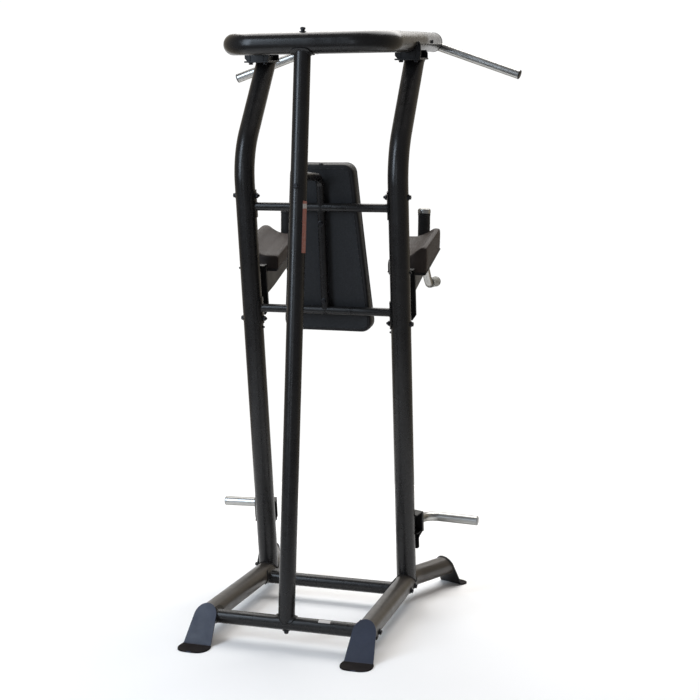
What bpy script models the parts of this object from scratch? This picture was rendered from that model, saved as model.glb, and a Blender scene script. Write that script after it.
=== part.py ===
"""Power tower: a free-standing frame for pull-ups, dips, knee raises and push-ups.

Metres, Z up, floor at z = 0, the user's side faces -Y, origin at the middle of the footprint.
Every sub-part is a named object; "_L" parts lie at negative x and "_R" parts at positive x.
"""
import math

import bmesh
import bpy
from mathutils import Vector

# ---------------------------------------------------------------- driving sizes
GAP = 0.0003                 # clearance between neighbouring parts
MAIN_R = 0.0381              # radius of the large frame tube (76.2 mm)
CROSS_R = 0.0254             # radius of the base cross tubes (50.8 mm)
POST_R = 0.0300              # radius of the centre post (60 mm)
BAR_R = 0.0160               # radius of the dip handles and backrest crossbars (32 mm)
CHROME_R = 0.0185            # radius of the pull-up bar and push-up handles (37 mm)
WALL = 0.0030                # wall of the frame tubes
THIN_WALL = 0.0025           # wall of the smaller tubes

RAIL_Z = 0.0840              # height of the base rail axis
RAIL_REAR = (0.2985, 0.5100)       # x, y where the rail axis ends at the back
RAIL_KINK = (0.2870, -0.2060)      # where the rail splays outwards
RAIL_FRONT = (0.3840, -0.4160)     # where it ends at the front
PLATE_T = 0.0050             # foot plate thickness
PLATE_TOP_HALF = 0.0430            # half width of a foot plate at the rail axis
PLATE_FOOT_HALF = 0.0520           # half width where it reaches the floor
REAR_LEAN = math.radians(40.0)     # slant of the foot plates from upright
FRONT_LEAN = math.radians(27.0)

UP_FOOT = (0.2882, -0.1430, 0.0840)
UP_BEND = (0.2970, 0.1330, 1.7420)
UP_TOP = (0.2950, -0.1110)         # x, y; the height follows from the bracket above
UP_BEND_R = 0.2700

REAR_CROSS = (0.4760, 0.0820)      # y, z of the rear cross tube
FRONT_CROSS = (-0.0680, 0.0740)    # y, z of the front cross tube

TOP_REAR = (0.3280, 2.1280)        # y, z of the rear member of the top frame
TOP_BEND = (0.2950, -0.1700)       # x, y where the arms turn inwards
TOP_END = (0.2490, -0.6120, 2.2235)
TOP_CORNER_R = 0.1200
BRACKET_DEPTH = 0.0660             # top frame axis to the underside of its bracket
BRACKET_HALF = 0.0490              # half width of that bracket

PULL_MID = (-0.6418, 2.2190)       # y, z of the middle of the pull-up bar
PULL_BEND_X = 0.2420
PULL_TIP = (0.6070, -0.6195, 2.0890)

BACK_UP_Z = 1.5550                 # heights of the backrest crossbars
BACK_LOW_Z = 1.1670
SPINE_R = 0.0150                   # radius of the backrest spine
BACK_MID_Z = 1.3955                # middle of the back pad, and its half sizes
BACK_TOP, BACK_BOTTOM, BACK_HALF = 0.1180, 0.1720, 0.3155

PAD_REAR_Y, PAD_FRONT_Y = -0.0430, -0.2880     # arm pad, back to front
PAD_IN, PAD_OUT = 0.2200, 0.3700               # its inner and outer side
PAD_SLOPE = 0.3550                 # rise of the arm rest per metre forwards
BOARD_Z = 1.3030                   # underside of the arm board at its back end
BOARD_T = 0.0080
GRIP_X, GRIP_Y = 0.2880, -0.3430   # axis of the upright grip
GRIP_TOP = 1.5280                  # top of its tube

LEAN = math.atan2(0.2760, 1.6580)  # backwards lean of the lower uprights

ARM_BRACKET_Z = 1.2300             # heights of two brackets on the uprights
PUSH_Z = 0.3250
PUSH_TURN = math.radians(18.0)     # the brackets face forwards and a little outwards

SEG_BIG = 16                       # sides of the faceted tubes, large to small
SEG_MID = 14
SEG_BAR = 12

# ---------------------------------------------------------------- start clean
for old in list(bpy.data.objects):
    bpy.data.objects.remove(old, do_unlink=True)


def material(name, colour, metallic, roughness):
    mat = bpy.data.materials.new(name)
    mat.use_nodes = True
    shader = mat.node_tree.nodes["Principled BSDF"]
    shader.inputs["Base Color"].default_value = (*colour, 1.0)
    shader.inputs["Metallic"].default_value = metallic
    shader.inputs["Roughness"].default_value = roughness
    return mat


MATS = {
    "frame": ((0.030, 0.030, 0.033), 0.30, 0.38),
    "plate": ((0.036, 0.040, 0.050), 0.40, 0.34),
    "bracket": ((0.028, 0.028, 0.030), 0.30, 0.42),
    "chrome": ((0.720, 0.730, 0.740), 1.00, 0.16),
    "plug": ((0.450, 0.455, 0.460), 0.20, 0.35),
    "rubber": ((0.018, 0.018, 0.018), 0.00, 0.75),
    "vinyl": ((0.030, 0.026, 0.024), 0.00, 0.50),
    "board": ((0.022, 0.020, 0.019), 0.00, 0.60),
    "steel": ((0.060, 0.060, 0.062), 0.80, 0.35),
}


# ---------------------------------------------------------------- small vector helpers
def vec(*values):
    return Vector(values[0] if len(values) == 1 else values)


def frame_from(axis, hint=Vector((0, 0, 1))):
    """Two unit vectors square to the axis; the first leans towards the hint."""
    axis = axis.normalized()
    if abs(axis.dot(hint)) > 0.98:
        hint = Vector((1, 0, 0))
    side = (hint - axis * hint.dot(axis)).normalized()
    return side, axis.cross(side)


def rounded_path(points, radii, steps):
    """Polyline through the points with circular bends; returns points and tangents."""
    pts = [vec(p) for p in points]
    out = [(pts[0], (pts[1] - pts[0]).normalized())]
    for i in range(1, len(pts) - 1):
        a = (pts[i] - pts[i - 1]).normalized()
        b = (pts[i + 1] - pts[i]).normalized()
        angle = a.angle(b)
        reach = radii[i - 1] * math.tan(angle / 2)
        start = pts[i] - a * reach
        normal = (b - a * a.dot(b)).normalized()
        centre = start + normal * radii[i - 1]
        n = max(2, steps[i - 1])
        for k in range(n + 1):
            t = angle * k / n
            pos = centre - normal * radii[i - 1] * math.cos(t) + a * radii[i - 1] * math.sin(t)
            out.append((pos, (a * math.cos(t) + normal * math.sin(t)).normalized()))
    out.append((pts[-1], (pts[-1] - pts[-2]).normalized()))
    return out


def transported(path, hint):
    """Square frames carried along the path without twisting."""
    side, up = frame_from(path[0][1], hint)
    frames = [(side, up)]
    for (_, t0), (_, t1) in zip(path, path[1:]):
        turn = t0.rotation_difference(t1)
        side = turn @ side
        side = (side - t1 * side.dot(t1)).normalized()
        frames.append((side, t1.cross(side)))
    return frames


# ---------------------------------------------------------------- mesh builders
def make_object(name, verts, faces, mat, sharp):
    """One closed smooth-shaded object from raw vertices and faces."""
    mesh = bpy.data.meshes.new(name)
    mesh.from_pydata([tuple(v) for v in verts], [], faces)
    bm = bmesh.new()
    bm.from_mesh(mesh)
    bmesh.ops.remove_doubles(bm, verts=bm.verts, dist=0.00002)
    bmesh.ops.recalc_face_normals(bm, faces=bm.faces)
    bm.to_mesh(mesh)
    bm.free()
    for poly in mesh.polygons:
        poly.use_smooth = True
    mesh.set_sharp_from_angle(angle=math.radians(sharp))
    mesh.materials.append(mat)
    obj = bpy.data.objects.new(name, mesh)
    bpy.context.scene.collection.objects.link(obj)
    return obj


class Body:
    """Collects the closed shells of one sub-part, which a Boolean union then joins."""

    def __init__(self):
        self.shells = []
        self.cutters = []

    def add(self, verts, faces):
        self.shells.append(([vec(v) for v in verts], faces))
        return self

    def build(self, name, kind, sharp=35.0):
        mat = material(name, *MATS[kind])
        obj = make_object(name, *self.shells[0], mat, sharp)
        jobs = [("UNION", s) for s in self.shells[1:]] + [("DIFFERENCE", c) for c in self.cutters]
        for i, (operation, shell) in enumerate(jobs):
            helper = make_object(f"{name}_{operation.lower()}_{i}", *shell, mat, sharp)
            helper.hide_render = True
            helper.display_type = "WIRE"
            modifier = obj.modifiers.new(operation.lower(), "BOOLEAN")
            modifier.operation = operation
            modifier.solver = "EXACT"
            modifier.object = helper
        return obj

    def bore(self, start, end, radius, seg):
        """Round hole through the finished sub-part."""
        drill = Body().lathe(start, vec(end) - vec(start),
                             [(radius, 0.0), (radius, (vec(end) - vec(start)).length)], seg)
        self.cutters.append(drill.shells[0])
        return self

    def loft(self, rings, closed_ends=True):
        """Skin a list of equal rings and close both ends."""
        n = len(rings[0])
        verts = [v for ring in rings for v in ring]
        faces = []
        for r in range(len(rings) - 1):
            for k in range(n):
                j = (k + 1) % n
                faces.append((r * n + k, r * n + j, (r + 1) * n + j, (r + 1) * n + k))
        if closed_ends:
            faces.append(tuple(range(n - 1, -1, -1)))
            last = (len(rings) - 1) * n
            faces.append(tuple(last + k for k in range(n)))
        return self.add(verts, faces)

    def tube(self, path, radius, wall, seg, hint=Vector((0, 0, 1)), cut0=None, cut1=None):
        """Hollow round tube, open at both ends; cuts trim the ends to a plane or a cylinder."""
        frames = transported(path, hint)
        shells = []
        for r in (radius, radius - wall):
            rings = []
            for (pos, _), (side, up) in zip(path, frames):
                rings.append([pos + (side * math.cos(2 * math.pi * k / seg)
                                     + up * math.sin(2 * math.pi * k / seg)) * r
                              for k in range(seg)])
            if cut0:
                rings[0] = [trim(v, -path[0][1], cut0) for v in rings[0]]
            if cut1:
                rings[-1] = [trim(v, path[-1][1], cut1) for v in rings[-1]]
            shells.append(rings)
        outer, inner = shells
        verts = [v for ring in outer for v in ring] + [v for ring in inner for v in ring]
        off = len(outer) * seg
        faces = []
        for r in range(len(outer) - 1):
            for k in range(seg):
                j = (k + 1) % seg
                a, b, c, d = r * seg + k, r * seg + j, (r + 1) * seg + j, (r + 1) * seg + k
                faces.append((a, b, c, d))
                faces.append((off + d, off + c, off + b, off + a))
        last = (len(outer) - 1) * seg
        for k in range(seg):
            j = (k + 1) % seg
            faces.append((j, k, off + k, off + j))
            faces.append((last + k, last + j, off + last + j, off + last + k))
        return self.add(verts, faces)

    def lathe(self, origin, axis, profile, seg):
        """Turned solid; the profile lists (radius, distance along the axis)."""
        origin, axis = vec(origin), vec(axis).normalized()
        side, up = frame_from(axis)
        verts, faces, rings = [], [], []
        for radius, dist in profile:
            if radius < 1e-6:
                rings.append([len(verts)])
                verts.append(origin + axis * dist)
            else:
                rings.append(list(range(len(verts), len(verts) + seg)))
                verts += [origin + axis * dist
                          + (side * math.cos(2 * math.pi * k / seg)
                             + up * math.sin(2 * math.pi * k / seg)) * radius
                          for k in range(seg)]
        for a, b in zip(rings, rings[1:]):
            for k in range(seg):
                j = (k + 1) % seg
                if len(a) == 1:
                    faces.append((a[0], b[j], b[k]))
                elif len(b) == 1:
                    faces.append((a[k], a[j], b[0]))
                else:
                    faces.append((a[k], a[j], b[j], b[k]))
        if len(rings[0]) > 1:
            faces.append(tuple(reversed(rings[0])))
        if len(rings[-1]) > 1:
            faces.append(tuple(rings[-1]))
        return self.add(verts, faces)

    def prism(self, outline, origin, u, v, thick):
        """Flat plate: a 2-D outline in the u, v plane, given a thickness along u x v."""
        origin, u, v = vec(origin), vec(u).normalized(), vec(v).normalized()
        w = u.cross(v)
        ring0 = [origin + u * a + v * b for a, b in outline]
        ring1 = [p + w * thick for p in ring0]
        return self.loft([ring0, ring1])


def trim(point, direction, cut):
    """Slide a point along its tube direction until it meets the cutting plane or cylinder."""
    direction = direction.normalized()
    if cut[0] == "plane":
        origin, normal = vec(cut[1]), vec(cut[2])
        return point + direction * ((origin - point).dot(normal) / direction.dot(normal))
    origin, axis, radius = vec(cut[1]), vec(cut[2]).normalized(), cut[3]
    rel = point - origin
    rel -= axis * rel.dot(axis)
    d = direction - axis * direction.dot(axis)
    a, b, c = d.dot(d), rel.dot(d), rel.dot(rel) - radius * radius
    root = max(b * b - a * c, 0.0)
    return point + direction * ((-b - math.sqrt(root)) / a)


def straight(a, b):
    a, b = vec(a), vec(b)
    t = (b - a).normalized()
    return [(a, t), (b, t)]


def saddle_plate(body, centre, axis, out, radius, thick, half_angle, half_len, n=10):
    """Curved plate hugging a tube; its outline narrows towards the far corners."""
    axis, out = vec(axis).normalized(), vec(out)
    out = (out - axis * out.dot(axis)).normalized()
    side = axis.cross(out)
    centre = vec(centre)
    rings = []
    for k in range(n + 1):
        t = -1 + 2 * k / n
        ang = t * half_angle
        reach = half_len * (1 - 0.42 * max(0.0, abs(t) - 0.45) ** 1.5 / 0.55 ** 1.5)
        radial = out * math.cos(ang) + side * math.sin(ang)
        rings.append([centre + radial * radius - axis * reach,
                      centre + radial * radius + axis * reach,
                      centre + radial * (radius + thick) + axis * reach,
                      centre + radial * (radius + thick) - axis * reach])
    body.loft(rings)
    return body


def bolt(name, origin, axis, head=0.0088, height=0.0068):
    """Hexagon head on its round washer, one turned and milled piece standing on a surface."""
    origin, axis = vec(origin), vec(axis).normalized()
    body = Body()
    body.lathe(origin + axis * GAP, axis, [(head + 0.0024, 0.0), (head + 0.0024, 0.0016)], 16)
    body.lathe(origin + axis * (GAP + 0.0008), axis,
               [(head, 0.0), (head, height * 0.85), (head * 0.86, height)], 6)
    return body.build(name, "steel", 25)


def cap_nut(name, origin, axis):
    """Domed nut on its washer."""
    origin, axis = vec(origin), vec(axis).normalized()
    body = Body()
    body.lathe(origin + axis * GAP, axis, [(0.0125, 0.0), (0.0125, 0.0018)], 16)
    body.lathe(origin + axis * (GAP + 0.0010), axis, [(0.0092, 0.0), (0.0092, 0.0085)], 6)
    body.lathe(origin + axis * (GAP + 0.0090), axis,
               [(0.0072, 0.0), (0.0070, 0.0032), (0.0054, 0.0062), (0.0028, 0.0080), (0.0, 0.0086)],
               12)
    return body.build(name, "steel", 25)


# ---------------------------------------------------------------- positions along the frame
ARM_RISE = math.atan2(TOP_END[2] - TOP_REAR[1], TOP_REAR[0] - TOP_END[1])
ARM_DIR = vec(0, -math.cos(ARM_RISE), math.sin(ARM_RISE))   # along an arm, towards the user
ARM_UP = vec(0, math.sin(ARM_RISE), math.cos(ARM_RISE))


def arm_z(y):
    """Height of the axis of a top frame arm."""
    return TOP_REAR[1] + (TOP_REAR[0] - y) * math.tan(ARM_RISE)


def upright_axis(z, side):
    """Point on the straight lower part of an upright at a height."""
    t = (z - UP_FOOT[2]) / (UP_BEND[2] - UP_FOOT[2])
    return vec(side * (UP_FOOT[0] + (UP_BEND[0] - UP_FOOT[0]) * t),
               UP_FOOT[1] + (UP_BEND[1] - UP_FOOT[1]) * t, z)


UP_DIR = vec(0, math.sin(LEAN), math.cos(LEAN))       # along the upright, upwards
UP_FRONT = vec(0, -math.cos(LEAN), math.sin(LEAN))    # square to it, towards the user

# ---------------------------------------------------------------- base rails and foot plates
def rail_point(side, y):
    """Point on the axis of the straight part of a base rail."""
    t = (y - RAIL_KINK[1]) / (RAIL_REAR[1] - RAIL_KINK[1])
    return vec(side * (RAIL_KINK[0] + (RAIL_REAR[0] - RAIL_KINK[0]) * t), y, RAIL_Z)


def rail_dir(side):
    return (rail_point(side, 1.0) - rail_point(side, 0.0)).normalized()


def slanted(out, lean):
    """Outward normal of a foot plate that leans back towards its rail."""
    return out * math.cos(lean) + vec(0, 0, 1) * math.sin(lean)


for side, tag in ((-1, "L"), (1, "R")):
    kink = rail_point(side, RAIL_KINK[1])
    rear_at = rail_point(side, RAIL_REAR[1])
    front_at = vec(side * RAIL_FRONT[0], RAIL_FRONT[1], RAIL_Z)
    rear_out, front_out = rail_dir(side), (front_at - kink).normalized()
    rear_n, front_n = slanted(rear_out, REAR_LEAN), slanted(front_out, FRONT_LEAN)
    rail = Body()
    path = rounded_path([rear_at, kink, front_at], [0.20], [3])
    rail.tube(path, MAIN_R, WALL, SEG_BIG, cut0=("plane", rear_at, rear_n),
              cut1=("plane", front_at, front_n))
    rail.build("base_rail_" + tag, "frame")

    for end, at, normal, out, lean, tongue in (
            ("rear", rear_at, rear_n, rear_out, REAR_LEAN, 0.0740),
            ("front", front_at, front_n, front_out, FRONT_LEAN, 0.0480)):
        across = vec(0, 0, 1).cross(out)
        down = normal.cross(across)
        down = -down if down.z > 0 else down
        inner = at + normal * GAP
        bend_r = PLATE_T + 0.0040
        # leaning leg; its round top covers the slanted end of the rail
        top_reach = MAIN_R / math.cos(lean) + 0.0035
        stations = []
        for k in range(7):
            ang = math.radians(90 - 15 * k)
            stations.append((inner - down * top_reach * math.sin(ang),
                             max(PLATE_TOP_HALF * math.cos(ang), 0.0060), normal))
        leg_end = inner + down * ((inner.z - 0.0105) / -down.z)
        stations.append(((inner + leg_end) / 2, (PLATE_TOP_HALF + PLATE_FOOT_HALF) / 2, normal))
        stations.append((leg_end, PLATE_FOOT_HALF, normal))
        # floor bend and round-ended tongue
        centre = leg_end + normal * bend_r
        for k in range(1, 4):
            n_k = slanted(out, lean + (math.pi / 2 - lean) * k / 3)
            stations.append((centre - n_k * bend_r, PLATE_FOOT_HALF + 0.0015 * k, n_k))
        flat = vec(stations[-1][0].x, stations[-1][0].y, 0)
        for k in range(1, 8):
            ang = math.radians(12 * k)
            stations.append((flat + out * tongue * (0.25 + 0.75 * math.sin(ang)),
                             0.0580 * math.cos(ang) ** 0.55, vec(0, 0, 1)))
        rings = []
        for pos, wide, n_k in stations:
            low, high = pos, pos + n_k * PLATE_T
            rings.append([low - across * wide, low + across * wide,
                          high + across * wide, high - across * wide])
        Body().loft(rings).build("foot_plate_" + end + "_" + tag, "plate", 30)

# ---------------------------------------------------------------- base cross tubes
SHELL_T = 0.0040                     # thickness of the curved saddle plates
WELD_R = MAIN_R + GAP + SHELL_T / 2  # tube ends stop inside the saddle plate
for name, (y, z) in (("rear_crossbar", REAR_CROSS), ("front_crossbar", FRONT_CROSS)):
    bar = Body()
    bar.tube(straight((-0.15, y, z), (0.15, y, z)), CROSS_R, WALL, SEG_MID,
             cut0=("cyl", rail_point(-1, y), rail_dir(-1), WELD_R),
             cut1=("cyl", rail_point(1, y), rail_dir(1), WELD_R))
    for side in (-1, 1):
        saddle_plate(bar, rail_point(side, y), rail_dir(side), (-side, 0, (z - RAIL_Z) * 20),
                     MAIN_R + GAP, SHELL_T, math.radians(52), 0.0460)
    bar.bore((-0.32, y, z), (0.32, y, z), CROSS_R - WALL - 0.0010, SEG_MID)
    if name == "rear_crossbar":
        # the saddle plates are trimmed along the slanted ends of the rails
        slant = math.tan(REAR_LEAN)
        face = RAIL_REAR[1] - 3 * GAP
        outline = [(face + 0.06 * slant, RAIL_Z - 0.06), (face + 0.15, RAIL_Z - 0.06),
                   (face + 0.15, RAIL_Z + 0.06), (face - 0.06 * slant, RAIL_Z + 0.06)]
        trimmer = Body().prism(outline, (-0.4, 0, 0), (0, 1, 0), (0, 0, 1), 0.8)
        bar.cutters.append(trimmer.shells[0])
    bar.build(name, "frame")

# ---------------------------------------------------------------- uprights
for side, tag in ((-1, "L"), (1, "R")):
    foot = vec(side * UP_FOOT[0], UP_FOOT[1], UP_FOOT[2])
    bend = vec(side * UP_BEND[0], UP_BEND[1], UP_BEND[2])
    top_z = arm_z(UP_TOP[1]) - (BRACKET_DEPTH + GAP) / math.cos(ARM_RISE)
    top = vec(side * UP_TOP[0], UP_TOP[1], top_z)
    start = foot + (bend - foot).normalized() * 0.10
    path = rounded_path([start, bend, top], [UP_BEND_R], [5])
    post = Body()
    post.tube(path, MAIN_R, WALL, SEG_BIG,
              cut0=("cyl", rail_point(side, UP_FOOT[1]), rail_dir(side), MAIN_R + 0.0010),
              cut1=("plane", top, ARM_UP))
    post.build("upright_" + tag, "frame")

# ---------------------------------------------------------------- top frame
corner_x = TOP_BEND[0]
top_points = [(-TOP_END[0], TOP_END[1], TOP_END[2]),
              (-corner_x, TOP_BEND[1], arm_z(TOP_BEND[1])),
              (-corner_x, TOP_REAR[0], TOP_REAR[1]),
              (corner_x, TOP_REAR[0], TOP_REAR[1]),
              (corner_x, TOP_BEND[1], arm_z(TOP_BEND[1])),
              (TOP_END[0], TOP_END[1], TOP_END[2])]
top = Body()
top.tube(rounded_path(top_points, [0.60, TOP_CORNER_R, TOP_CORNER_R, 0.60], [2, 6, 6, 2]),
         MAIN_R, WALL, SEG_BIG)
top.build("top_frame", "frame")

for side, tag in ((-1, "L"), (1, "R")):
    end = vec(side * TOP_END[0], TOP_END[1], TOP_END[2])
    end_dir = (end - vec(side * corner_x, TOP_BEND[1], arm_z(TOP_BEND[1]))).normalized()
    plate = Body()
    plate.lathe(end + end_dir * GAP, end_dir, [(MAIN_R, 0.0), (MAIN_R, 0.0022),
                                               (MAIN_R - 0.0010, 0.0032)], SEG_BIG)
    plate.build("arm_end_plate_" + tag, "bracket")

# ---------------------------------------------------------------- brackets under the top frame
for side, tag in ((-1, "L"), (1, "R")):
    body = Body()
    base_y = 0.006
    origin = vec(side * corner_x, base_y, arm_z(base_y))
    floor_mid = origin - ARM_UP * 0.0600
    length = 0.1430
    half = BRACKET_HALF
    plate = [(-half, 0.0), (half, 0.0), (half, length - 0.012), (half - 0.012, length),
             (-half + 0.012, length), (-half, length - 0.012)]
    x_dir = vec(1, 0, 0)
    body.prism(plate, floor_mid, x_dir, ARM_DIR, 0.0060)
    arc_r = MAIN_R + 0.0006
    for along, top_h in ((0.0, 0.0), (0.1110, -0.0310)):
        here = origin + ARM_DIR * along
        start = math.asin(max(-1.0, min(1.0, top_h / arc_r)))
        n = 10
        arc = []
        for k in range(n + 1):
            ang = start + (-math.pi - 2 * start) * k / n
            arc.append((arc_r * math.cos(ang), arc_r * math.sin(ang)))
        foot = -0.0610
        outline = [(-half, foot), (half, foot), (half, top_h - 0.006), (half - 0.003, top_h)]
        outline += arc + [(-half + 0.003, top_h), (-half, top_h - 0.006)]
        body.prism(outline, here + ARM_DIR * 0.006, x_dir, ARM_UP, 0.0060)
    body.build("top_bracket_" + tag, "bracket", 30)

# ---------------------------------------------------------------- pull-up bar
pull = Body()
pull_points = [(-PULL_TIP[0], PULL_TIP[1], PULL_TIP[2]), (-PULL_BEND_X, *PULL_MID),
               (PULL_BEND_X, *PULL_MID), (PULL_TIP[0], PULL_TIP[1], PULL_TIP[2])]
pull.tube(rounded_path(pull_points, [0.09, 0.09], [3, 3]), CHROME_R, THIN_WALL, SEG_BAR)
pull.build("pull_up_bar", "chrome")


def end_plug(name, tip, direction, kind="plug", radius=CHROME_R, inner=CHROME_R - THIN_WALL):
    """Moulded plug with a short spigot inside the tube and a domed face outside."""
    tip, direction = vec(tip), vec(direction).normalized()
    plug = Body()
    plug.lathe(tip, direction, [(inner - 0.0010, -0.0120), (inner - 0.0006, -0.0110),
                                (inner - 0.0006, GAP), (radius, GAP), (radius, 0.0022),
                                (radius - 0.0018, 0.0040), (radius * 0.6, 0.0052), (0.0, 0.0056)],
               SEG_BAR)
    plug.build(name, kind)


for side, tag in ((-1, "L"), (1, "R")):
    tip = vec(side * PULL_TIP[0], PULL_TIP[1], PULL_TIP[2])
    knee = vec(side * PULL_BEND_X, *PULL_MID)
    end_plug("pull_up_cap_" + tag, tip, tip - knee)

# ---------------------------------------------------------------- centre post
post = Body()
post_foot = vec(0, *REAR_CROSS)
post_head = vec(0, *TOP_REAR)
post_dir = (post_head - post_foot).normalized()
post.tube(straight(post_foot + post_dir * 0.10, post_head - post_dir * 0.10), POST_R, WALL, SEG_MID,
          hint=vec(1, 0, 0), cut0=("cyl", post_foot, (1, 0, 0), CROSS_R + GAP + SHELL_T / 2),
          cut1=("cyl", post_head, (1, 0, 0), WELD_R))
saddle_plate(post, post_foot, (1, 0, 0), post_dir, CROSS_R + GAP, SHELL_T, math.radians(72), 0.037)
saddle_plate(post, post_head, (1, 0, 0), -post_dir, MAIN_R + GAP, SHELL_T, math.radians(54), 0.038)
post.bore(post_foot, post_head, POST_R - WALL - 0.0050, SEG_MID)
post.build("centre_post", "frame")

def post_axis(z):
    return post_foot + post_dir * ((z - post_foot.z) / post_dir.z)


# ---------------------------------------------------------------- backrest frame
def spine_point(z):
    return vec(0, upright_axis(z, 1).y, z)


spine = Body()
spine_start = spine_point(BACK_LOW_Z)
spine_knee = spine_point(1.664)
spine_end = vec(0, post_axis(1.660).y - 0.060, 1.668)
path = rounded_path([spine_start, spine_knee, spine_end], [0.045], [6])
spine.tube(path, SPINE_R, THIN_WALL, SEG_BAR, hint=vec(1, 0, 0),
           cut1=("cyl", post_foot, post_dir, POST_R + 0.0008))
spine.build("backrest_spine", "frame")

for name, z, lift in (("backrest_crossbar_upper", BACK_UP_Z, 0.010),
                      ("backrest_crossbar_lower", BACK_LOW_Z, -0.010)):
    for side, tag in ((-1, "L"), (1, "R")):
        at = upright_axis(z, side)
        along = (upright_axis(1.0, side) - upright_axis(0.0, side)).normalized()
        bar = Body()
        bar.tube(straight((side * 0.06, at.y, z), (side * 0.20, at.y, z)), BAR_R, THIN_WALL, SEG_BAR,
                 cut0=("cyl", spine_start, UP_DIR, SPINE_R + 0.0010),
                 cut1=("cyl", at, along, WELD_R))
        saddle_plate(bar, at + along * lift, along, (-side, 0, 0), MAIN_R + GAP, SHELL_T,
                     math.radians(44), 0.0500)
        bar.bore((side * 0.1, at.y, z), (side * 0.29, at.y, z), BAR_R - THIN_WALL - 0.0006, SEG_BAR)
        bar.build(name + "_" + tag, "frame")

# ---------------------------------------------------------------- backrest board and pad
def rounded_taper(half_top, half_bottom, half_height, corner, n=4):
    """Outline of the tapered back pad, corners rounded, listed anticlockwise."""
    corners = [(half_bottom, -half_height), (half_top, half_height),
               (-half_top, half_height), (-half_bottom, -half_height)]
    out = []
    for i, c in enumerate(corners):
        prev, nxt = vec(*corners[i - 1], 0), vec(*corners[(i + 1) % 4], 0)
        p = vec(*c, 0)
        a, b = (prev - p).normalized(), (nxt - p).normalized()
        ang = a.angle(b)
        reach = corner / math.tan(ang / 2)
        mid = p + (a + b).normalized() * (corner / math.sin(ang / 2))
        p0, p1 = p + a * reach, p + b * reach
        v0, v1 = p0 - mid, p1 - mid
        sweep = v0.angle(v1)
        for k in range(n + 1):
            t = sweep * k / n
            q = mid + (v0 * math.sin(sweep - t) + v1 * math.sin(t)) / math.sin(sweep)
            out.append((q.x, q.y))
    return out


def stacked(body, centre, u, v, w, layers):
    """Skin similar outlines stacked along w."""
    rings = []
    for outline, height in layers:
        rings.append([centre + u * a + v * b + w * height for a, b in outline])
    body.loft(rings)
    return body


back_mid = spine_point(BACK_MID_Z)
board_off = BAR_R + GAP
board = Body()
stacked(board, back_mid, vec(1, 0, 0), UP_DIR, UP_FRONT,
        [(rounded_taper(BACK_TOP, BACK_BOTTOM, BACK_HALF, 0.036), board_off),
         (rounded_taper(BACK_TOP, BACK_BOTTOM, BACK_HALF, 0.036), board_off + 0.012)])
board.build("backrest_board", "board")

pad = Body()
pad_off = board_off + 0.012 + GAP
layers = []
for grow, height in ((0.000, 0.0), (0.0035, 0.004), (0.0050, 0.014), (0.0045, 0.030),
                     (0.0015, 0.041), (-0.0050, 0.049), (-0.0160, 0.0545), (-0.0400, 0.0575),
                     (-0.0800, 0.0590)):
    layers.append((rounded_taper(BACK_TOP + grow, BACK_BOTTOM + grow, BACK_HALF + grow,
                                 max(0.036 + grow, 0.012)), pad_off + height))
stacked(pad, back_mid, vec(1, 0, 0), UP_DIR, UP_FRONT, layers)
pad.build("backrest_pad", "vinyl", 50)

# ---------------------------------------------------------------- arm rests
def board_low(y):
    """Underside of the arm board."""
    return BOARD_Z + (PAD_REAR_Y - y) * PAD_SLOPE


def cross_plate(body, centre, axis, front, half_w, depth_front, depth_back, thick, radius):
    """Plate behind the front of a bracket, with a round notch that fits the upright."""
    side = axis.cross(front)
    start = math.asin(depth_back / radius)
    n = 10
    arc = []
    for k in range(n + 1):
        ang = start + (math.pi - 2 * start) * k / n
        arc.append((radius * math.cos(ang), radius * math.sin(ang)))
    outline = [(half_w, depth_back), (half_w, depth_front), (-half_w, depth_front),
               (-half_w, depth_back)] + list(reversed(arc))
    body.prism(outline, centre, side, front, thick)
    return body


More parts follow.
